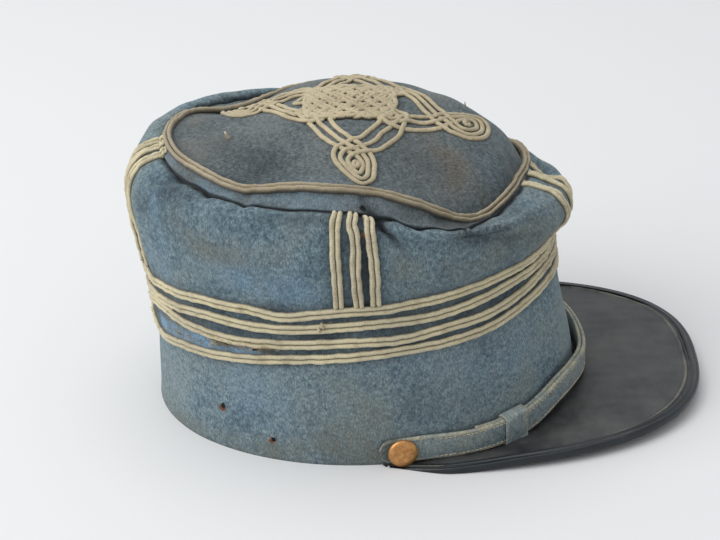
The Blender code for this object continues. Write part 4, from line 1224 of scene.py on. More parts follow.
def make_loop(name, degrees, material, node):
    # Flat cloth loop round both straps, with soft corners
    at = np.array([float(degrees)])
    out = Vector(strap_out(at)[0])
    foot = Vector(strap_base(at)[0])
    along = Vector((strap_base(at + 3.4) - strap_base(at - 3.4))[0]).normalized()
    inner = float(under_offset(at)[0]) - GAP - STRAP_SAG
    outer = float(over_offset(at)[0]) + STRAP_THICKNESS + GAP
    low, high = -GAP, STRAP_WIDTH + GAP
    bpy.ops.object.select_all(action="DESELECT")
    bpy.ops.mesh.primitive_cylinder_add(vertices=40, radius=1.0, depth=1.0,
                                        end_fill_type="NOTHING")
    piece = bpy.context.object
    piece.name = name
    mesh = piece.data
    middle_out, middle_up = (inner + outer) / 2, (low + high) / 2
    half_out, half_up = (outer - inner) / 2 + LOOP_THICKNESS, (high - low) / 2 + LOOP_THICKNESS
    bpy.ops.object.mode_set(mode="EDIT")
    bpy.ops.mesh.select_all(action="SELECT")
    bpy.ops.mesh.subdivide(number_cuts=7)
    bpy.ops.object.mode_set(mode="OBJECT")
    # The circle is pressed to a rounded rectangle
    power = 2 / 7
    for vertex in mesh.vertices:
        a = math.atan2(vertex.co.y, vertex.co.x)
        c, s = math.cos(a), math.sin(a)
        o = math.copysign(abs(c) ** power, c) * half_out
        h = math.copysign(abs(s) ** power, s) * half_up
        wave = 0.00025 * math.sin(3 * a + 4 * vertex.co.z)
        vertex.co = (foot + out * (middle_out + o + wave * (o > 0))
                     + Vector((0, 0, middle_up + h)) + along * vertex.co.z * LOOP_WIDTH)
    uv = mesh.uv_layers[0]
    uv.name = "cloth"
    for loop in mesh.loops:
        place = mesh.vertices[loop.vertex_index].co
        uv.data[loop.index].uv = (place.dot(along) + 3.0, place.z)
    edge = mesh.attributes.new("edge", "FLOAT", "POINT")
    for vertex in mesh.vertices:
        reach = abs((vertex.co - foot).dot(along)) / (LOOP_WIDTH / 2)
        edge.data[vertex.index].value = 0.45 if reach > 0.8 else 0.10
    face_outwards(piece)
    thicken(piece, LOOP_THICKNESS)
    bevel = piece.modifiers.new("soft edges", "BEVEL")
    bevel.width = 0.00022
    bevel.segments = 2
    bevel.limit_method = "ANGLE"
    bevel.angle_limit = math.radians(50)
    apply_modifiers(piece)
    return finish_piece(piece, material, (node,))


def make_button(name, degrees, offset, material, node):
    # Pressed dome with a rolled edge, drawn up ring by ring from its back
    radius, height = BUTTON_DIAMETER / 2, BUTTON_HEIGHT
    edge = 0.30 * height
    rings = [(0.55 * radius, -0.0002), (0.90 * radius, -0.0001), (0.97 * radius, 0.3 * edge),
             (1.0 * radius, edge), (0.985 * radius, 1.35 * edge)]
    for t in (1.30, 1.12, 0.93, 0.74, 0.55, 0.37, 0.19):
        rings.append((radius * math.sin(t), edge + (height - edge) * math.cos(t)))
    bpy.ops.object.select_all(action="DESELECT")
    bpy.ops.mesh.primitive_circle_add(vertices=48, radius=rings[0][0], fill_type="NGON",
                                      location=(0, 0, rings[0][1]))
    piece = bpy.context.object
    piece.name = name
    bpy.ops.object.transform_apply(location=True, rotation=True, scale=True)
    bpy.ops.object.mode_set(mode="EDIT")
    bpy.ops.mesh.select_all(action="SELECT")
    for (r0, z0), (r1, z1) in zip(rings, rings[1:]):
        bpy.ops.mesh.extrude_region_move(TRANSFORM_OT_translate={"value": (0, 0, z1 - z0)})
        bpy.ops.transform.resize(value=(r1 / r0, r1 / r0, 1.0),
                                 center_override=(0, 0, z1))
    bpy.ops.mesh.poke()
    bpy.ops.mesh.select_all(action="SELECT")
    bpy.ops.mesh.normals_make_consistent(inside=False)
    bpy.ops.object.mode_set(mode="OBJECT")
    at = np.array([float(degrees)])
    out = Vector(strap_out(at)[0])
    seat = Vector(strap_base(at)[0]) + Vector((0, 0, STRAP_WIDTH / 2))
    seat += out * (float(offset(at)[0]) + STRAP_THICKNESS + GAP)
    # A small dent, as a thin stamping gets
    dent_x, dent_y, dent_size, dent_depth = -0.002, 0.0015, 0.0018, 0.00022
    for vertex in piece.data.vertices:
        away = (vertex.co.x - dent_x) ** 2 + (vertex.co.y - dent_y) ** 2
        vertex.co.z -= dent_depth * math.exp(-away / dent_size ** 2) * (vertex.co.z > edge)
    turn = out.to_track_quat("Z", "Y").to_matrix().to_4x4()
    piece.data.transform(Matrix.Translation(seat) @ turn)
    return finish_piece(piece, material, (node,))


# Loose ends

def hair(points, faces, path, radius):
    # One thread with a four-sided section along a path, added to lists of points and faces
    path = np.asarray(path, float)
    along = np.gradient(path, axis=0)
    along /= np.maximum(np.linalg.norm(along, axis=1, keepdims=True), 1e-12)
    side = np.cross(along, [0.31, 0.23, 0.92])
    side /= np.maximum(np.linalg.norm(side, axis=1, keepdims=True), 1e-12)
    other = np.cross(along, side)
    start, steps, sides = len(points), len(path), 4
    taper = np.linspace(1.0, 0.45, steps)
    for i in range(steps):
        for k in range(sides):
            turn = math.tau * k / sides
            points.append(path[i] + radius * taper[i] * (side[i] * math.cos(turn)
                                                         + other[i] * math.sin(turn)))
    faces += thread_faces(start, steps, sides)


def random_direction(local):
    return np.array([local.gauss(0, 1), local.gauss(0, 1), local.gauss(0, 1)])


def nap_out(angle, level):
    # Outward direction at one place of the wall or band
    return normals(wall, np.float64(angle), np.float64(level), 0.01, 0.03)


def cling(points, faces, place, out, longest, local):
    # One pale hair that clings to the nap, up to a length in mm
    along = np.cross(out, random_direction(local))
    along = along / np.linalg.norm(along)
    size = local.uniform(0.6, longest) * MM
    path = curly_path(place + out * 0.0004, out, along, size, local, 0.8)
    hair(points, faces, path, 0.05 * MM)


def curly_path(start, out, along, length, local, curl=0.5):
    # Path that leaves the cloth and bends over
    steps = 7
    heading = along * local.choice((-1, 1)) + out * local.uniform(0.1, 0.9)
    heading = heading / np.linalg.norm(heading)
    place, path = start - out * 0.0003, []
    for _ in range(steps):
        path.append(place)
        place = place + heading * length / steps
        heading = heading + random_direction(local) * curl * 0.35 - out * 0.16
        heading = heading / np.linalg.norm(heading)
    return path


# Frayed stretches: first and last angle in degrees, first and last level, count, length in
# mm and radius in mm
BRAID_FRAYS = (
    (0, 360, 3.85, 3.92, 34, 2.2, 0.07),
    (0, 360, 3.20, 3.28, 34, 2.2, 0.07),
    (0, 360, 2.85, 2.93, 30, 2.4, 0.07),
    (0, 360, 4.05, 4.12, 22, 2.0, 0.06),
    (112, 154, 3.14, 3.24, 70, 3.6, 0.10),
    (112, 134, 3.18, 3.30, 36, 3.0, 0.12),
    (112, 133, 3.22, 3.36, 110, 4.5, 0.15),
    (133, 156, 3.36, 3.44, 40, 3.0, 0.10),
    (150, 172, 3.0, 4.0, 26, 3.0, 0.10),
    (92, 100, 3.5, 3.8, 8, 2.4, 0.12),
    (210, 240, 3.3, 3.6, 22, 3.0, 0.10),
    (0, 360, 8.85, 9.10, 60, 1.9, 0.07),
    (126, 140, 8.85, 9.12, 26, 2.0, 0.09),
    (40, 60, 8.85, 9.12, 16, 2.0, 0.09),
)


def make_frays(material):
    local = random.Random(401)
    points, faces = [], []
    for first, last, low, high, count, length, radius in BRAID_FRAYS:
        for _ in range(count):
            angle = math.radians(local.uniform(first, last))
            level = local.uniform(low, high)
            place = wall(angle, level)
            out = nap_out(angle, level)
            along = wall(angle + 0.01, level) - place
            along = along / np.linalg.norm(along)
            begin = place + out * BRAID_RISE * local.uniform(0.2, 0.9)
            size = length * local.uniform(0.5, 1.3) * MM
            hair(points, faces, curly_path(begin, out, along, size, local), radius * MM)
    piece = mesh_piece("braid_frays", points, faces)
    return finish_piece(piece, material)


def make_lint(material):
    # Pale flecks and hairs that cling to the nap
    local = random.Random(403)
    points, faces = [], []
    for _ in range(70):
        angle = local.uniform(0, math.tau)
        level = local.choice((local.uniform(0.3, 2.7), local.uniform(4.3, 7.7)))
        cling(points, faces, wall(angle, level), nap_out(angle, level), 2.2, local)
    for _ in range(40):
        x, y = local.uniform(-0.05, 0.05), local.uniform(-0.06, 0.06)
        cling(points, faces, crown(x, y), crown_out(np.float64(x), np.float64(y)), 1.8, local)
    # Ends of thread that stand on the crown and on the braid at the right. Place, lean,
    # length and radius are in mm, and angle in degrees.
    for x, y, lean, size, radius in ((-13.4, 57.7, 0.2, 4.2, 1.05),
                                     (19.5, -50.9, 0.6, 2.2, 0.42)):
        start, out = crown(x * MM, y * MM), crown_out(np.float64(x * MM), np.float64(y * MM))
        step = (out + np.array([0.0, lean, 0.0])) * MM * size / 3
        hair(points, faces, [start + step * i for i in range(4)], radius * MM)
    for degrees, level, size, radius in ((98.6, 3.66, 3.4, 0.9), (99.6, 3.60, 2.6, 0.8)):
        turn, height = np.float64(math.radians(degrees)), np.float64(level)
        out = braid_out(turn, height)
        start = wall(turn, height) + out * BRAID_RISE * 0.8
        step = (out * 0.5 + np.array([0.0, 0.1, 1.0])) * MM * size / 3
        hair(points, faces, [start + step * i for i in range(4)], radius * MM)
    piece = mesh_piece("lint_and_ends", points, faces)
    return finish_piece(piece, material)


# Materials

# Holes and spots on the cloth: kind, place in mm from the rim's middle and radius in mm.
# The holes are painted near black, as the shade inside the hat seen through them.
CLOTH_SPOTS = (
    ("hole", -63.1, 64.2, 21.3, 1.5),
    ("hole", -75.7, 40.9, 10.2, 1.2),
    ("hole", -68.5, -4.4, 121.4, 2.0),
    ("hole", -71.0, 46.6, 56.0, 2.3),
    ("hole", -65.0, 57.0, 54.4, 1.2),
    ("hole", -21.0, 95.3, 46.0, 1.6),
    ("hole", -15.1, 100.2, 65.0, 1.6),
    ("hole", 40.0, 84.0, 30.0, 1.3),
    ("hole", 78.0, 22.0, 40.0, 1.1),
    ("rust", -63.1, 64.8, 20.2, 2.0),
    ("rust", -75.7, 41.6, 9.6, 1.7),
    ("rust", -77.2, -5.0, 112.4, 1.5),
    ("rust", -60.0, 50.0, 102.0, 1.1),
)


def spot_mask(tree, place, rough, kind):
    # Mask of the cloth's holes or rust spots, with ragged outlines
    nearest = None
    for mark, x, y, z, size in CLOTH_SPOTS:
        if mark != kind:
            continue
        middle = Vector((x, y, z)) * MM + RIM_MIDDLE
        away = add(tree, "ShaderNodeVectorMath", {1: middle}, {0: place}, operation="DISTANCE")
        ratio = add(tree, "ShaderNodeMath", {1: size * MM}, {0: away.outputs["Value"]},
                    operation="DIVIDE")
        if nearest is None:
            nearest = ratio
        else:
            nearest = add(tree, "ShaderNodeMath", {}, {0: nearest.outputs[0],
                                                      1: ratio.outputs[0]}, operation="MINIMUM")
    ragged = add(tree, "ShaderNodeMath", {}, {0: nearest.outputs[0], 1: rough},
                 operation="ADD")
    return add(tree, "ShaderNodeMapRange", {1: 1.55, 2: 1.25, 3: 0.0, 4: 1.0},
               {0: ragged.outputs[0]}).outputs[0]


def wool_cloth(name, deep, pale, soiled, bright, seed):
    # Milled wool broadcloth: a felted nap that hides the weave, with fine fibres that
    # catch the light, and colour that has faded and soiled in patches
    made, tree, shader = new_material(name, {
        "Roughness": 0.95, "Specular IOR Level": 0.2, "Sheen Weight": 0.28,
        "Sheen Roughness": 0.45, "Sheen Tint": linear("b4bdbf")})
    uv = add(tree, "ShaderNodeUVMap", uv_map="cloth")
    place = add(tree, "ShaderNodeTexCoord")
    shifted = add(tree, "ShaderNodeMapping", {"Location": (seed, seed * 0.7, seed * 0.3)},
                  {"Vector": place.outputs["Object"]})
    # Fibres about 0.7 mm wide and 1.6 mm long, coarser than real ones so that they show
    lengthwise = add(tree, "ShaderNodeMapping", {"Scale": (1.0, 0.42, 1.0)},
                     {"Vector": uv.outputs["UV"]})
    fibres = add(tree, "ShaderNodeTexNoise", {"Scale": 1500.0, "Detail": 4.0, "Roughness": 0.7},
                 {"Vector": lengthwise.outputs["Vector"]})
    # Mottling of 1 to 4 mm and patches of 20 to 60 mm
    mottle = add(tree, "ShaderNodeTexNoise", {"Scale": 420.0, "Detail": 5.0, "Roughness": 0.78},
                 {"Vector": shifted.outputs["Vector"]})
    patch = add(tree, "ShaderNodeTexNoise", {"Scale": 26.0, "Detail": 5.0, "Roughness": 0.62},
                {"Vector": shifted.outputs["Vector"]})
    blotch = add(tree, "ShaderNodeTexNoise", {"Scale": 55.0, "Detail": 5.0, "Roughness": 0.65,
                                              "Distortion": 0.4},
                 {"Vector": shifted.outputs["Vector"]})
    cloudy = add(tree, "ShaderNodeMath", {1: 0.55}, {0: patch.outputs["Fac"]},
                 operation="MULTIPLY")
    mixed = add(tree, "ShaderNodeMath", {}, {0: cloudy.outputs[0], 1: mottle.outputs["Fac"]},
                operation="ADD")
    tone = add(tree, "ShaderNodeMapRange", {1: 0.63, 2: 0.93}, {0: mixed.outputs[0]})
    cloth = add(tree, "ShaderNodeMix", {6: linear(deep), 7: linear(pale)},
                {0: tone.outputs[0]}, data_type="RGBA")
    soil_mark = add(tree, "ShaderNodeAttribute", attribute_name="soil")
    dark_mark = add(tree, "ShaderNodeAttribute", attribute_name="dark")
    fade_mark = add(tree, "ShaderNodeAttribute", attribute_name="fade")
    spread = add(tree, "ShaderNodeMapRange", {1: 0.46, 2: 0.74, 3: 0.0, 4: 0.75},
                 {0: patch.outputs["Fac"]})
    broken = add(tree, "ShaderNodeMapRange", {1: 0.36, 2: 0.62, 3: 0.15, 4: 1.0},
                 {0: blotch.outputs["Fac"]})
    soiling = add(tree, "ShaderNodeMath", {}, {0: soil_mark.outputs["Fac"],
                                              1: broken.outputs[0]}, operation="MULTIPLY")
    both = add(tree, "ShaderNodeMath", {}, {0: soiling.outputs[0], 1: spread.outputs[0]},
               operation="ADD", use_clamp=True)
    amount = add(tree, "ShaderNodeMath", {1: 0.72}, {0: both.outputs[0]}, operation="MULTIPLY")
    faded = add(tree, "ShaderNodeMath", {}, {0: fade_mark.outputs["Fac"], 1: broken.outputs[0]},
                operation="MULTIPLY", use_clamp=True)
    # Painted shade of the dark marks, with some dust and dirt
    painted_shade_and_dust = add(tree, "ShaderNodeMath", {1: 0.9}, {0: dark_mark.outputs["Fac"]},
               operation="MULTIPLY", use_clamp=True)
    edge_mark = add(tree, "ShaderNodeAttribute", attribute_name="edge")
    coarse = add(tree, "ShaderNodeTexNoise", {"Scale": 900.0, "Detail": 2.0},
                 {"Vector": place.outputs["Object"]})
    # Soil, fading, the dark marks (painted shade in folds, seams and beside braids, with some dust
    # and dirt), worn edges, rust spots and moth holes (painted near black, as the shade seen
    # through them) lie over the dye in that order
    worn = cloth
    for colour, share in (
            (soiled, amount.outputs[0]), (bright, faded.outputs[0]), ("24282c", painted_shade_and_dust.outputs[0]),
            ("aaa48c", edge_mark.outputs["Fac"]),
            ("6b3f22", spot_mask(tree, place.outputs["Object"], coarse.outputs["Fac"], "rust")),
            ("0d0d0e", spot_mask(tree, place.outputs["Object"], coarse.outputs["Fac"], "hole"))):
        worn = add(tree, "ShaderNodeMix", {7: linear(colour)}, {0: share, 6: worn.outputs[2]},
                   data_type="RGBA")
    glint = add(tree, "ShaderNodeMapRange", {1: 0.30, 2: 0.70, 3: 0.50, 4: 1.50},
                {0: fibres.outputs["Fac"]})
    coat = add(tree, "ShaderNodeVectorMath", {}, {0: worn.outputs[2], "Scale": glint.outputs[0]},
               operation="SCALE")
    tree.links.new(coat.outputs[0], shader.inputs["Base Color"])
    rough = add(tree, "ShaderNodeMath", {1: 0.5}, {0: mottle.outputs["Fac"]}, operation="MULTIPLY")
    relief = add(tree, "ShaderNodeMath", {}, {0: rough.outputs[0], 1: fibres.outputs["Fac"]},
                 operation="ADD")
    bump = add(tree, "ShaderNodeBump", {"Strength": 0.5, "Distance": 0.0004},
               {"Height": relief.outputs[0]})
    tree.links.new(bump.outputs["Normal"], shader.inputs["Normal"])
    return made


def flat_braid(name, silver, yellowed):
    # Soutache of aged silver-grey silk and cotton: fine plaited threads run slantwise over
    # each rib, and the grooves and edges are darkened with dust and painted shade
    made, tree, shader = new_material(name, {
        "Roughness": 0.78, "Specular IOR Level": 0.35, "Sheen Weight": 0.15})
    uv = add(tree, "ShaderNodeUVMap", uv_map="cloth")
    place = add(tree, "ShaderNodeTexCoord")
    parts = add(tree, "ShaderNodeSeparateXYZ", {}, {0: uv.outputs["UV"]})
    # Plait of 1.1 mm pitch: the slant turns over at the middle of each rib
    rib = add(tree, "ShaderNodeMath", {}, {0: parts.outputs["Y"]}, operation="FRACT")
    middle = add(tree, "ShaderNodeMath", {1: 0.5}, {0: rib.outputs[0]}, operation="SUBTRACT")
    slant = add(tree, "ShaderNodeMath", {}, {0: middle.outputs[0]}, operation="ABSOLUTE")
    turn = add(tree, "ShaderNodeMath", {1: 1.3}, {0: slant.outputs[0]}, operation="MULTIPLY")
    run = add(tree, "ShaderNodeMath", {1: 1 / 0.0011}, {0: parts.outputs["X"]},
              operation="MULTIPLY")
    phase = add(tree, "ShaderNodeMath", {}, {0: run.outputs[0], 1: turn.outputs[0]},
                operation="ADD")
    angle = add(tree, "ShaderNodeMath", {1: math.tau}, {0: phase.outputs[0]},
                operation="MULTIPLY")
    threads = add(tree, "ShaderNodeMath", {}, {0: angle.outputs[0]}, operation="SINE")
    fine = add(tree, "ShaderNodeTexNoise", {"Scale": 1300.0, "Detail": 3.0, "Roughness": 0.6},
               {"Vector": place.outputs["Object"]})
    dirt = add(tree, "ShaderNodeTexNoise", {"Scale": 110.0, "Detail": 5.0, "Roughness": 0.7},
               {"Vector": place.outputs["Object"]})
    age = add(tree, "ShaderNodeTexNoise", {"Scale": 30.0, "Detail": 3.0, "Roughness": 0.6},
              {"Vector": place.outputs["Object"]})
    tone = add(tree, "ShaderNodeMapRange", {1: 0.36, 2: 0.66}, {0: age.outputs["Fac"]})
    silk = add(tree, "ShaderNodeMix", {6: linear(silver), 7: linear(yellowed)},
               {0: tone.outputs[0]}, data_type="RGBA")
    patch = add(tree, "ShaderNodeMapRange", {1: 0.50, 2: 0.76, 3: 0.0, 4: 0.75},
                {0: dirt.outputs["Fac"]})
    aged = add(tree, "ShaderNodeMix", {7: linear("8a7b5f")},
               {0: patch.outputs[0], 6: silk.outputs[2]}, data_type="RGBA")
    # The low parts of the section get dust and painted shade
    edge = add(tree, "ShaderNodeAttribute", attribute_name="edge")
    low = add(tree, "ShaderNodeMapRange", {1: 0.34, 2: 0.86, 3: 0.0, 4: 0.92},
              {0: edge.outputs["Fac"]})
    groove_dust_and_shade = add(tree, "ShaderNodeMix", {7: linear("2e281f")},
                {0: low.outputs[0], 6: aged.outputs[2]}, data_type="RGBA")
    weave = add(tree, "ShaderNodeMapRange", {1: -1.0, 2: 1.0, 3: 0.95, 4: 1.04},
                {0: threads.outputs[0]})
    grain = add(tree, "ShaderNodeMapRange", {1: 0.3, 2: 0.7, 3: 0.85, 4: 1.12},
                {0: fine.outputs["Fac"]})
    both = add(tree, "ShaderNodeMath", {}, {0: weave.outputs[0], 1: grain.outputs[0]},
               operation="MULTIPLY")
    coat = add(tree, "ShaderNodeVectorMath", {}, {0: groove_dust_and_shade.outputs[2], "Scale": both.outputs[0]},
               operation="SCALE")
    tree.links.new(coat.outputs[0], shader.inputs["Base Color"])
    relief = add(tree, "ShaderNodeMath", {}, {0: threads.outputs[0], 1: fine.outputs["Fac"]},
                 operation="ADD")
    bump = add(tree, "ShaderNodeBump", {"Strength": 0.35, "Distance": 0.00012},
               {"Height": relief.outputs[0]})
    tree.links.new(bump.outputs["Normal"], shader.inputs["Normal"])
    return made


def glazed_leather():
    # Black blocked leather with an old glaze: satin, finely crazed, rubbed grey and brown,
    # with pale wear on the pressed lines
    made, tree, shader = new_material("glazed_blocked_leather", {"IOR": 1.5})
    place = add(tree, "ShaderNodeTexCoord")
    inset = add(tree, "ShaderNodeAttribute", attribute_name="inset")
    cloud = add(tree, "ShaderNodeTexNoise", {"Scale": 38.0, "Detail": 6.0, "Roughness": 0.66},
                {"Vector": place.outputs["Object"]})
    grain = add(tree, "ShaderNodeTexNoise", {"Scale": 900.0, "Detail": 3.0, "Roughness": 0.6},
                {"Vector": place.outputs["Object"]})
    craze = add(tree, "ShaderNodeTexVoronoi", {"Scale": 520.0},
                {"Vector": place.outputs["Object"]}, feature="DISTANCE_TO_EDGE")
    scratched = add(tree, "ShaderNodeMapping", {"Scale": (1.0, 9.0, 1.0),
                                                "Rotation": (0, 0, 0.6)},
                    {"Vector": place.outputs["Object"]})
    scratch = add(tree, "ShaderNodeTexNoise", {"Scale": 120.0, "Detail": 6.0, "Roughness": 0.75},
                  {"Vector": scratched.outputs["Vector"]})
    tone = add(tree, "ShaderNodeMapRange", {1: 0.35, 2: 0.70}, {0: cloud.outputs["Fac"]})
    hide = add(tree, "ShaderNodeMix", {6: linear("1c1e21"), 7: linear("4e4e4d")},
               {0: tone.outputs[0]}, data_type="RGBA")
    rub = add(tree, "ShaderNodeMapRange", {1: 0.56, 2: 0.80, 3: 0.0, 4: 0.5},
              {0: scratch.outputs["Fac"]})
    rubbed = add(tree, "ShaderNodeMix", {7: linear("5b564e")},
                 {0: rub.outputs[0], 6: hide.outputs[2]}, data_type="RGBA")
    # Wear on the pressed ridge, 5 mm in from the edge
    away = add(tree, "ShaderNodeMath", {1: 0.0050}, {0: inset.outputs["Fac"]},
               operation="SUBTRACT")
    off = add(tree, "ShaderNodeMath", {}, {0: away.outputs[0]}, operation="ABSOLUTE")
    line = add(tree, "ShaderNodeMapRange", {1: 0.00105, 2: 0.00025, 3: 0.0, 4: 0.65},
               {0: off.outputs[0]})
    patchy = add(tree, "ShaderNodeMapRange", {1: 0.38, 2: 0.60}, {0: cloud.outputs["Fac"]})
    worn = add(tree, "ShaderNodeMath", {}, {0: line.outputs[0], 1: patchy.outputs[0]},
               operation="MULTIPLY")
    hide_worn = add(tree, "ShaderNodeMix", {7: linear("827f71")},
                    {0: worn.outputs[0], 6: rubbed.outputs[2]}, data_type="RGBA")
    tree.links.new(hide_worn.outputs[2], shader.inputs["Base Color"])
    dull = add(tree, "ShaderNodeMapRange", {1: 0.35, 2: 0.70, 3: 0.42, 4: 0.62},
               {0: cloud.outputs["Fac"]})
    tree.links.new(dull.outputs[0], shader.inputs["Roughness"])
    cells = add(tree, "ShaderNodeMapRange", {1: 0.0, 2: 0.08, 3: 0.0, 4: 0.4},
                {0: craze.outputs["Distance"]})
    relief = add(tree, "ShaderNodeMath", {}, {0: cells.outputs[0], 1: grain.outputs["Fac"]},
                 operation="ADD")
    bump = add(tree, "ShaderNodeBump", {"Strength": 0.35, "Distance": 0.00012},
               {"Height": relief.outputs[0]})
    tree.links.new(bump.outputs["Normal"], shader.inputs["Normal"])
    return made


def lacquered_edge():
    # Blue-black lacquered calf: glossy, lightly dented and chipped
    made, tree, shader = new_material("lacquered_calf", {"IOR": 1.5})
    place = add(tree, "ShaderNodeTexCoord")
    cloud = add(tree, "ShaderNodeTexNoise", {"Scale": 90.0, "Detail": 5.0, "Roughness": 0.65},
                {"Vector": place.outputs["Object"]})
    tone = add(tree, "ShaderNodeMapRange", {1: 0.35, 2: 0.68}, {0: cloud.outputs["Fac"]})
    lacquer = add(tree, "ShaderNodeMix", {6: linear("0b1013"), 7: linear("162127")},
                  {0: tone.outputs[0]}, data_type="RGBA")
    chip = add(tree, "ShaderNodeMapRange", {1: 0.68, 2: 0.74, 3: 0.0, 4: 0.6},
               {0: cloud.outputs["Fac"]})
    chipped = add(tree, "ShaderNodeMix", {7: linear("6f6a5d")},
                  {0: chip.outputs[0], 6: lacquer.outputs[2]}, data_type="RGBA")
    tree.links.new(chipped.outputs[2], shader.inputs["Base Color"])
    dull = add(tree, "ShaderNodeMapRange", {1: 0.35, 2: 0.70, 3: 0.26, 4: 0.46},
               {0: cloud.outputs["Fac"]})
    tree.links.new(dull.outputs[0], shader.inputs["Roughness"])
    bump = add(tree, "ShaderNodeBump", {"Strength": 0.3, "Distance": 0.0003},
               {"Height": cloud.outputs["Fac"]})
    tree.links.new(bump.outputs["Normal"], shader.inputs["Normal"])
    return made


def tarnished_brass():
    # Stamped gilding metal: the gilt has gone and the dome has a brown copper tarnish
    made, tree, shader = new_material("tarnished_gilding_metal", {"Metallic": 0.75})
    place = add(tree, "ShaderNodeTexCoord")
    cloud = add(tree, "ShaderNodeTexNoise", {"Scale": 420.0, "Detail": 5.0, "Roughness": 0.6},
                {"Vector": place.outputs["Object"]})
    tone = add(tree, "ShaderNodeMapRange", {1: 0.35, 2: 0.68}, {0: cloud.outputs["Fac"]})
    metal = add(tree, "ShaderNodeMix", {6: linear("cc9a60"), 7: linear("a67344")},
                {0: tone.outputs[0]}, data_type="RGBA")
    tree.links.new(metal.outputs[2], shader.inputs["Base Color"])
    dull = add(tree, "ShaderNodeMapRange", {1: 0.35, 2: 0.70, 3: 0.34, 4: 0.52},
               {0: cloud.outputs["Fac"]})
    tree.links.new(dull.outputs[0], shader.inputs["Roughness"])
    bump = add(tree, "ShaderNodeBump", {"Strength": 0.2, "Distance": 0.0001},
               {"Height": cloud.outputs["Fac"]})
    tree.links.new(bump.outputs["Normal"], shader.inputs["Normal"])
    return made


def loose_thread(name, per_metre, low, high, deep, pale):
    # Thread with matt fibres, soiled unevenly along its length
    made, tree, shader = new_material(name, {"Roughness": 0.8})
    place = add(tree, "ShaderNodeTexCoord")
    cloud = add(tree, "ShaderNodeTexNoise", {"Scale": per_metre, "Detail": 3.0},
                {"Vector": place.outputs["Object"]})
    tone = add(tree, "ShaderNodeMapRange", {1: low, 2: high}, {0: cloud.outputs["Fac"]})
    fibre = add(tree, "ShaderNodeMix", {6: linear(deep), 7: linear(pale)},
                {0: tone.outputs[0]}, data_type="RGBA")
    tree.links.new(fibre.outputs[2], shader.inputs["Base Color"])
    return made


def paper_floor():
    # Seamless background paper, uncoated
    return new_material("matt_paper", {"Base Color": linear("d3d4d4"), "Roughness": 0.9,
                                       "Specular IOR Level": 0.1})[0]


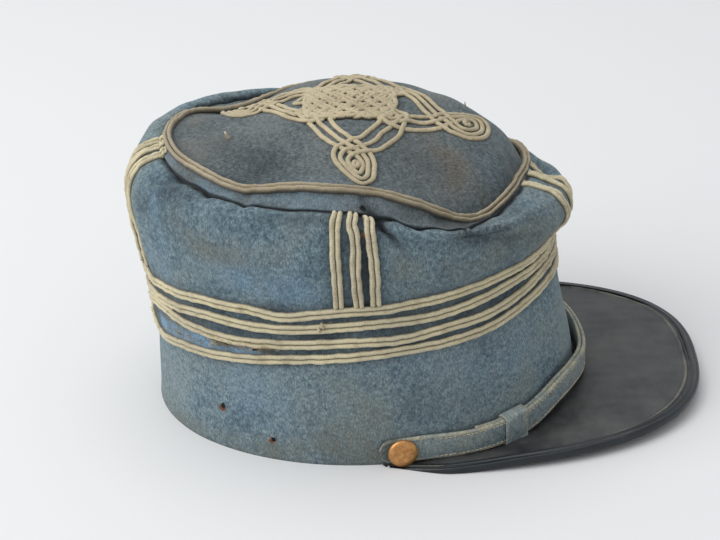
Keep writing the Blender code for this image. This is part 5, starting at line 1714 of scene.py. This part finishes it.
def make_pieces():
    cloth = {
        "band": wool_cloth("wool_broadcloth_band", "4a5b66", "7f9196", "63645b", "6f8aa2", 1.0),
        "wall": wool_cloth("wool_broadcloth_wall", "45565f", "788a90", "625f50", "7290aa", 2.0),
        "crown": wool_cloth("wool_broadcloth_crown", "3d4547", "666e70", "5b554a", "6c7f8a", 3.0),
        "strap": wool_cloth("wool_broadcloth_strap", "5a6b75", "8a9ba0", "86826e", "7590a8", 4.0),
    }
    braid = flat_braid("aged_silk_soutache", "b3aa90", "c5bb9a")
    ring_braid = flat_braid("soiled_silk_soutache", "8e836d", "9f937b")
    cord = flat_braid("aged_silk_cord", "a0957a", "b1a486")
    # Waxed linen, pale and slightly soiled over about 4 mm
    thread = loose_thread("waxed_linen_thread", 260.0, 0.35, 0.68, "a99a7c", "d0c6ac")
    # Broken silk and cotton core, yellowed over about 6 mm where the plait has opened
    frayed = loose_thread("frayed_silk", 160.0, 0.40, 0.62, "6f5a34", "b5a57c")
    brass = tarnished_brass()
    make_band(cloth["band"])
    make_wall(cloth["wall"])
    make_crown(cloth["crown"])
    make_level_braids(braid)
    make_crown_braid(ring_braid)
    make_upright_braids(braid)
    make_knot(cord)
    make_peak(glazed_leather())
    make_binding(lacquered_edge())
    make_strap("strap_right_cloth", -60, 86, over_offset, 301, cloth["strap"], "strap_right")
    make_strap("strap_left_cloth", -86, 60, under_offset, 303, cloth["strap"], "strap_left")
    make_stitches("strap_right_stitches", -58, 72, over_offset, 305, thread)
    make_stitches("strap_left_stitches", -72, -61, under_offset, 306, thread)
    make_loop("strap_loop_right_cloth", 48.5, cloth["strap"], "strap_loop_right")
    make_loop("strap_loop_left_cloth", -48.5, cloth["strap"], "strap_loop_left")
    make_button("button_right_dome", BUTTON_ANGLE, over_offset, brass, "button_right")
    make_button("button_left_dome", -BUTTON_ANGLE, under_offset, brass, "button_left")
    make_frays(frayed)
    make_lint(thread)


def make_stage():
    bpy.ops.object.select_all(action="DESELECT")
    bpy.ops.mesh.primitive_plane_add(size=7.0, location=(0, 0, 0))
    floor = bpy.context.object
    floor.name = "floor"
    floor.data.materials.append(paper_floor())
    world = bpy.data.worlds.new("soft_room")
    world.use_nodes = True
    world.node_tree.nodes["Background"].inputs["Color"].default_value = linear("f5f7fa")
    world.node_tree.nodes["Background"].inputs["Strength"].default_value = 0.76
    bpy.context.scene.world = world
    for name, place, size, power in (("key", (-0.6, 1.5, 1.3), 1.5, 26.0),
                                     ("top", (0.3, 0.3, 1.9), 1.6, 13.0)):
        lamp = bpy.data.lights.new(name, "AREA")
        lamp.size = size
        lamp.energy = power
        light = bpy.data.objects.new(name, lamp)
        light.location = place
        aim = Vector((0, 0, 0.06)) - Vector(place)
        light.rotation_euler = aim.to_track_quat("-Z", "Y").to_euler()
        bpy.context.scene.collection.objects.link(light)
    bpy.context.scene.view_settings.view_transform = "Standard"


def make_camera():
    # The photograph's view, from the wearer's right and above
    azimuth, rise, roll = math.radians(-87.65), math.radians(26.43), math.radians(-2.61)
    back = Vector((math.sin(azimuth) * math.cos(rise), -math.cos(azimuth) * math.cos(rise),
                   math.sin(rise)))
    level = Vector((math.cos(azimuth), math.sin(azimuth), 0.0))
    up = back.cross(level)
    right = math.cos(roll) * level + math.sin(roll) * up
    up = math.cos(roll) * up - math.sin(roll) * level
    lens = bpy.data.cameras.new("view")
    lens.sensor_width = 36.0
    lens.lens = 94.2
    lens.clip_start = 0.01
    camera = bpy.data.objects.new("view", lens)
    turn = Matrix((right, up, back)).transposed().to_4x4()
    stand = Vector((-0.80759, -0.03191, 0.45925)) + RIM_MIDDLE
    camera.matrix_world = Matrix.Translation(stand) @ turn
    bpy.context.scene.collection.objects.link(camera)
    bpy.context.scene.camera = camera


make_camera()
make_pieces()
make_stage()
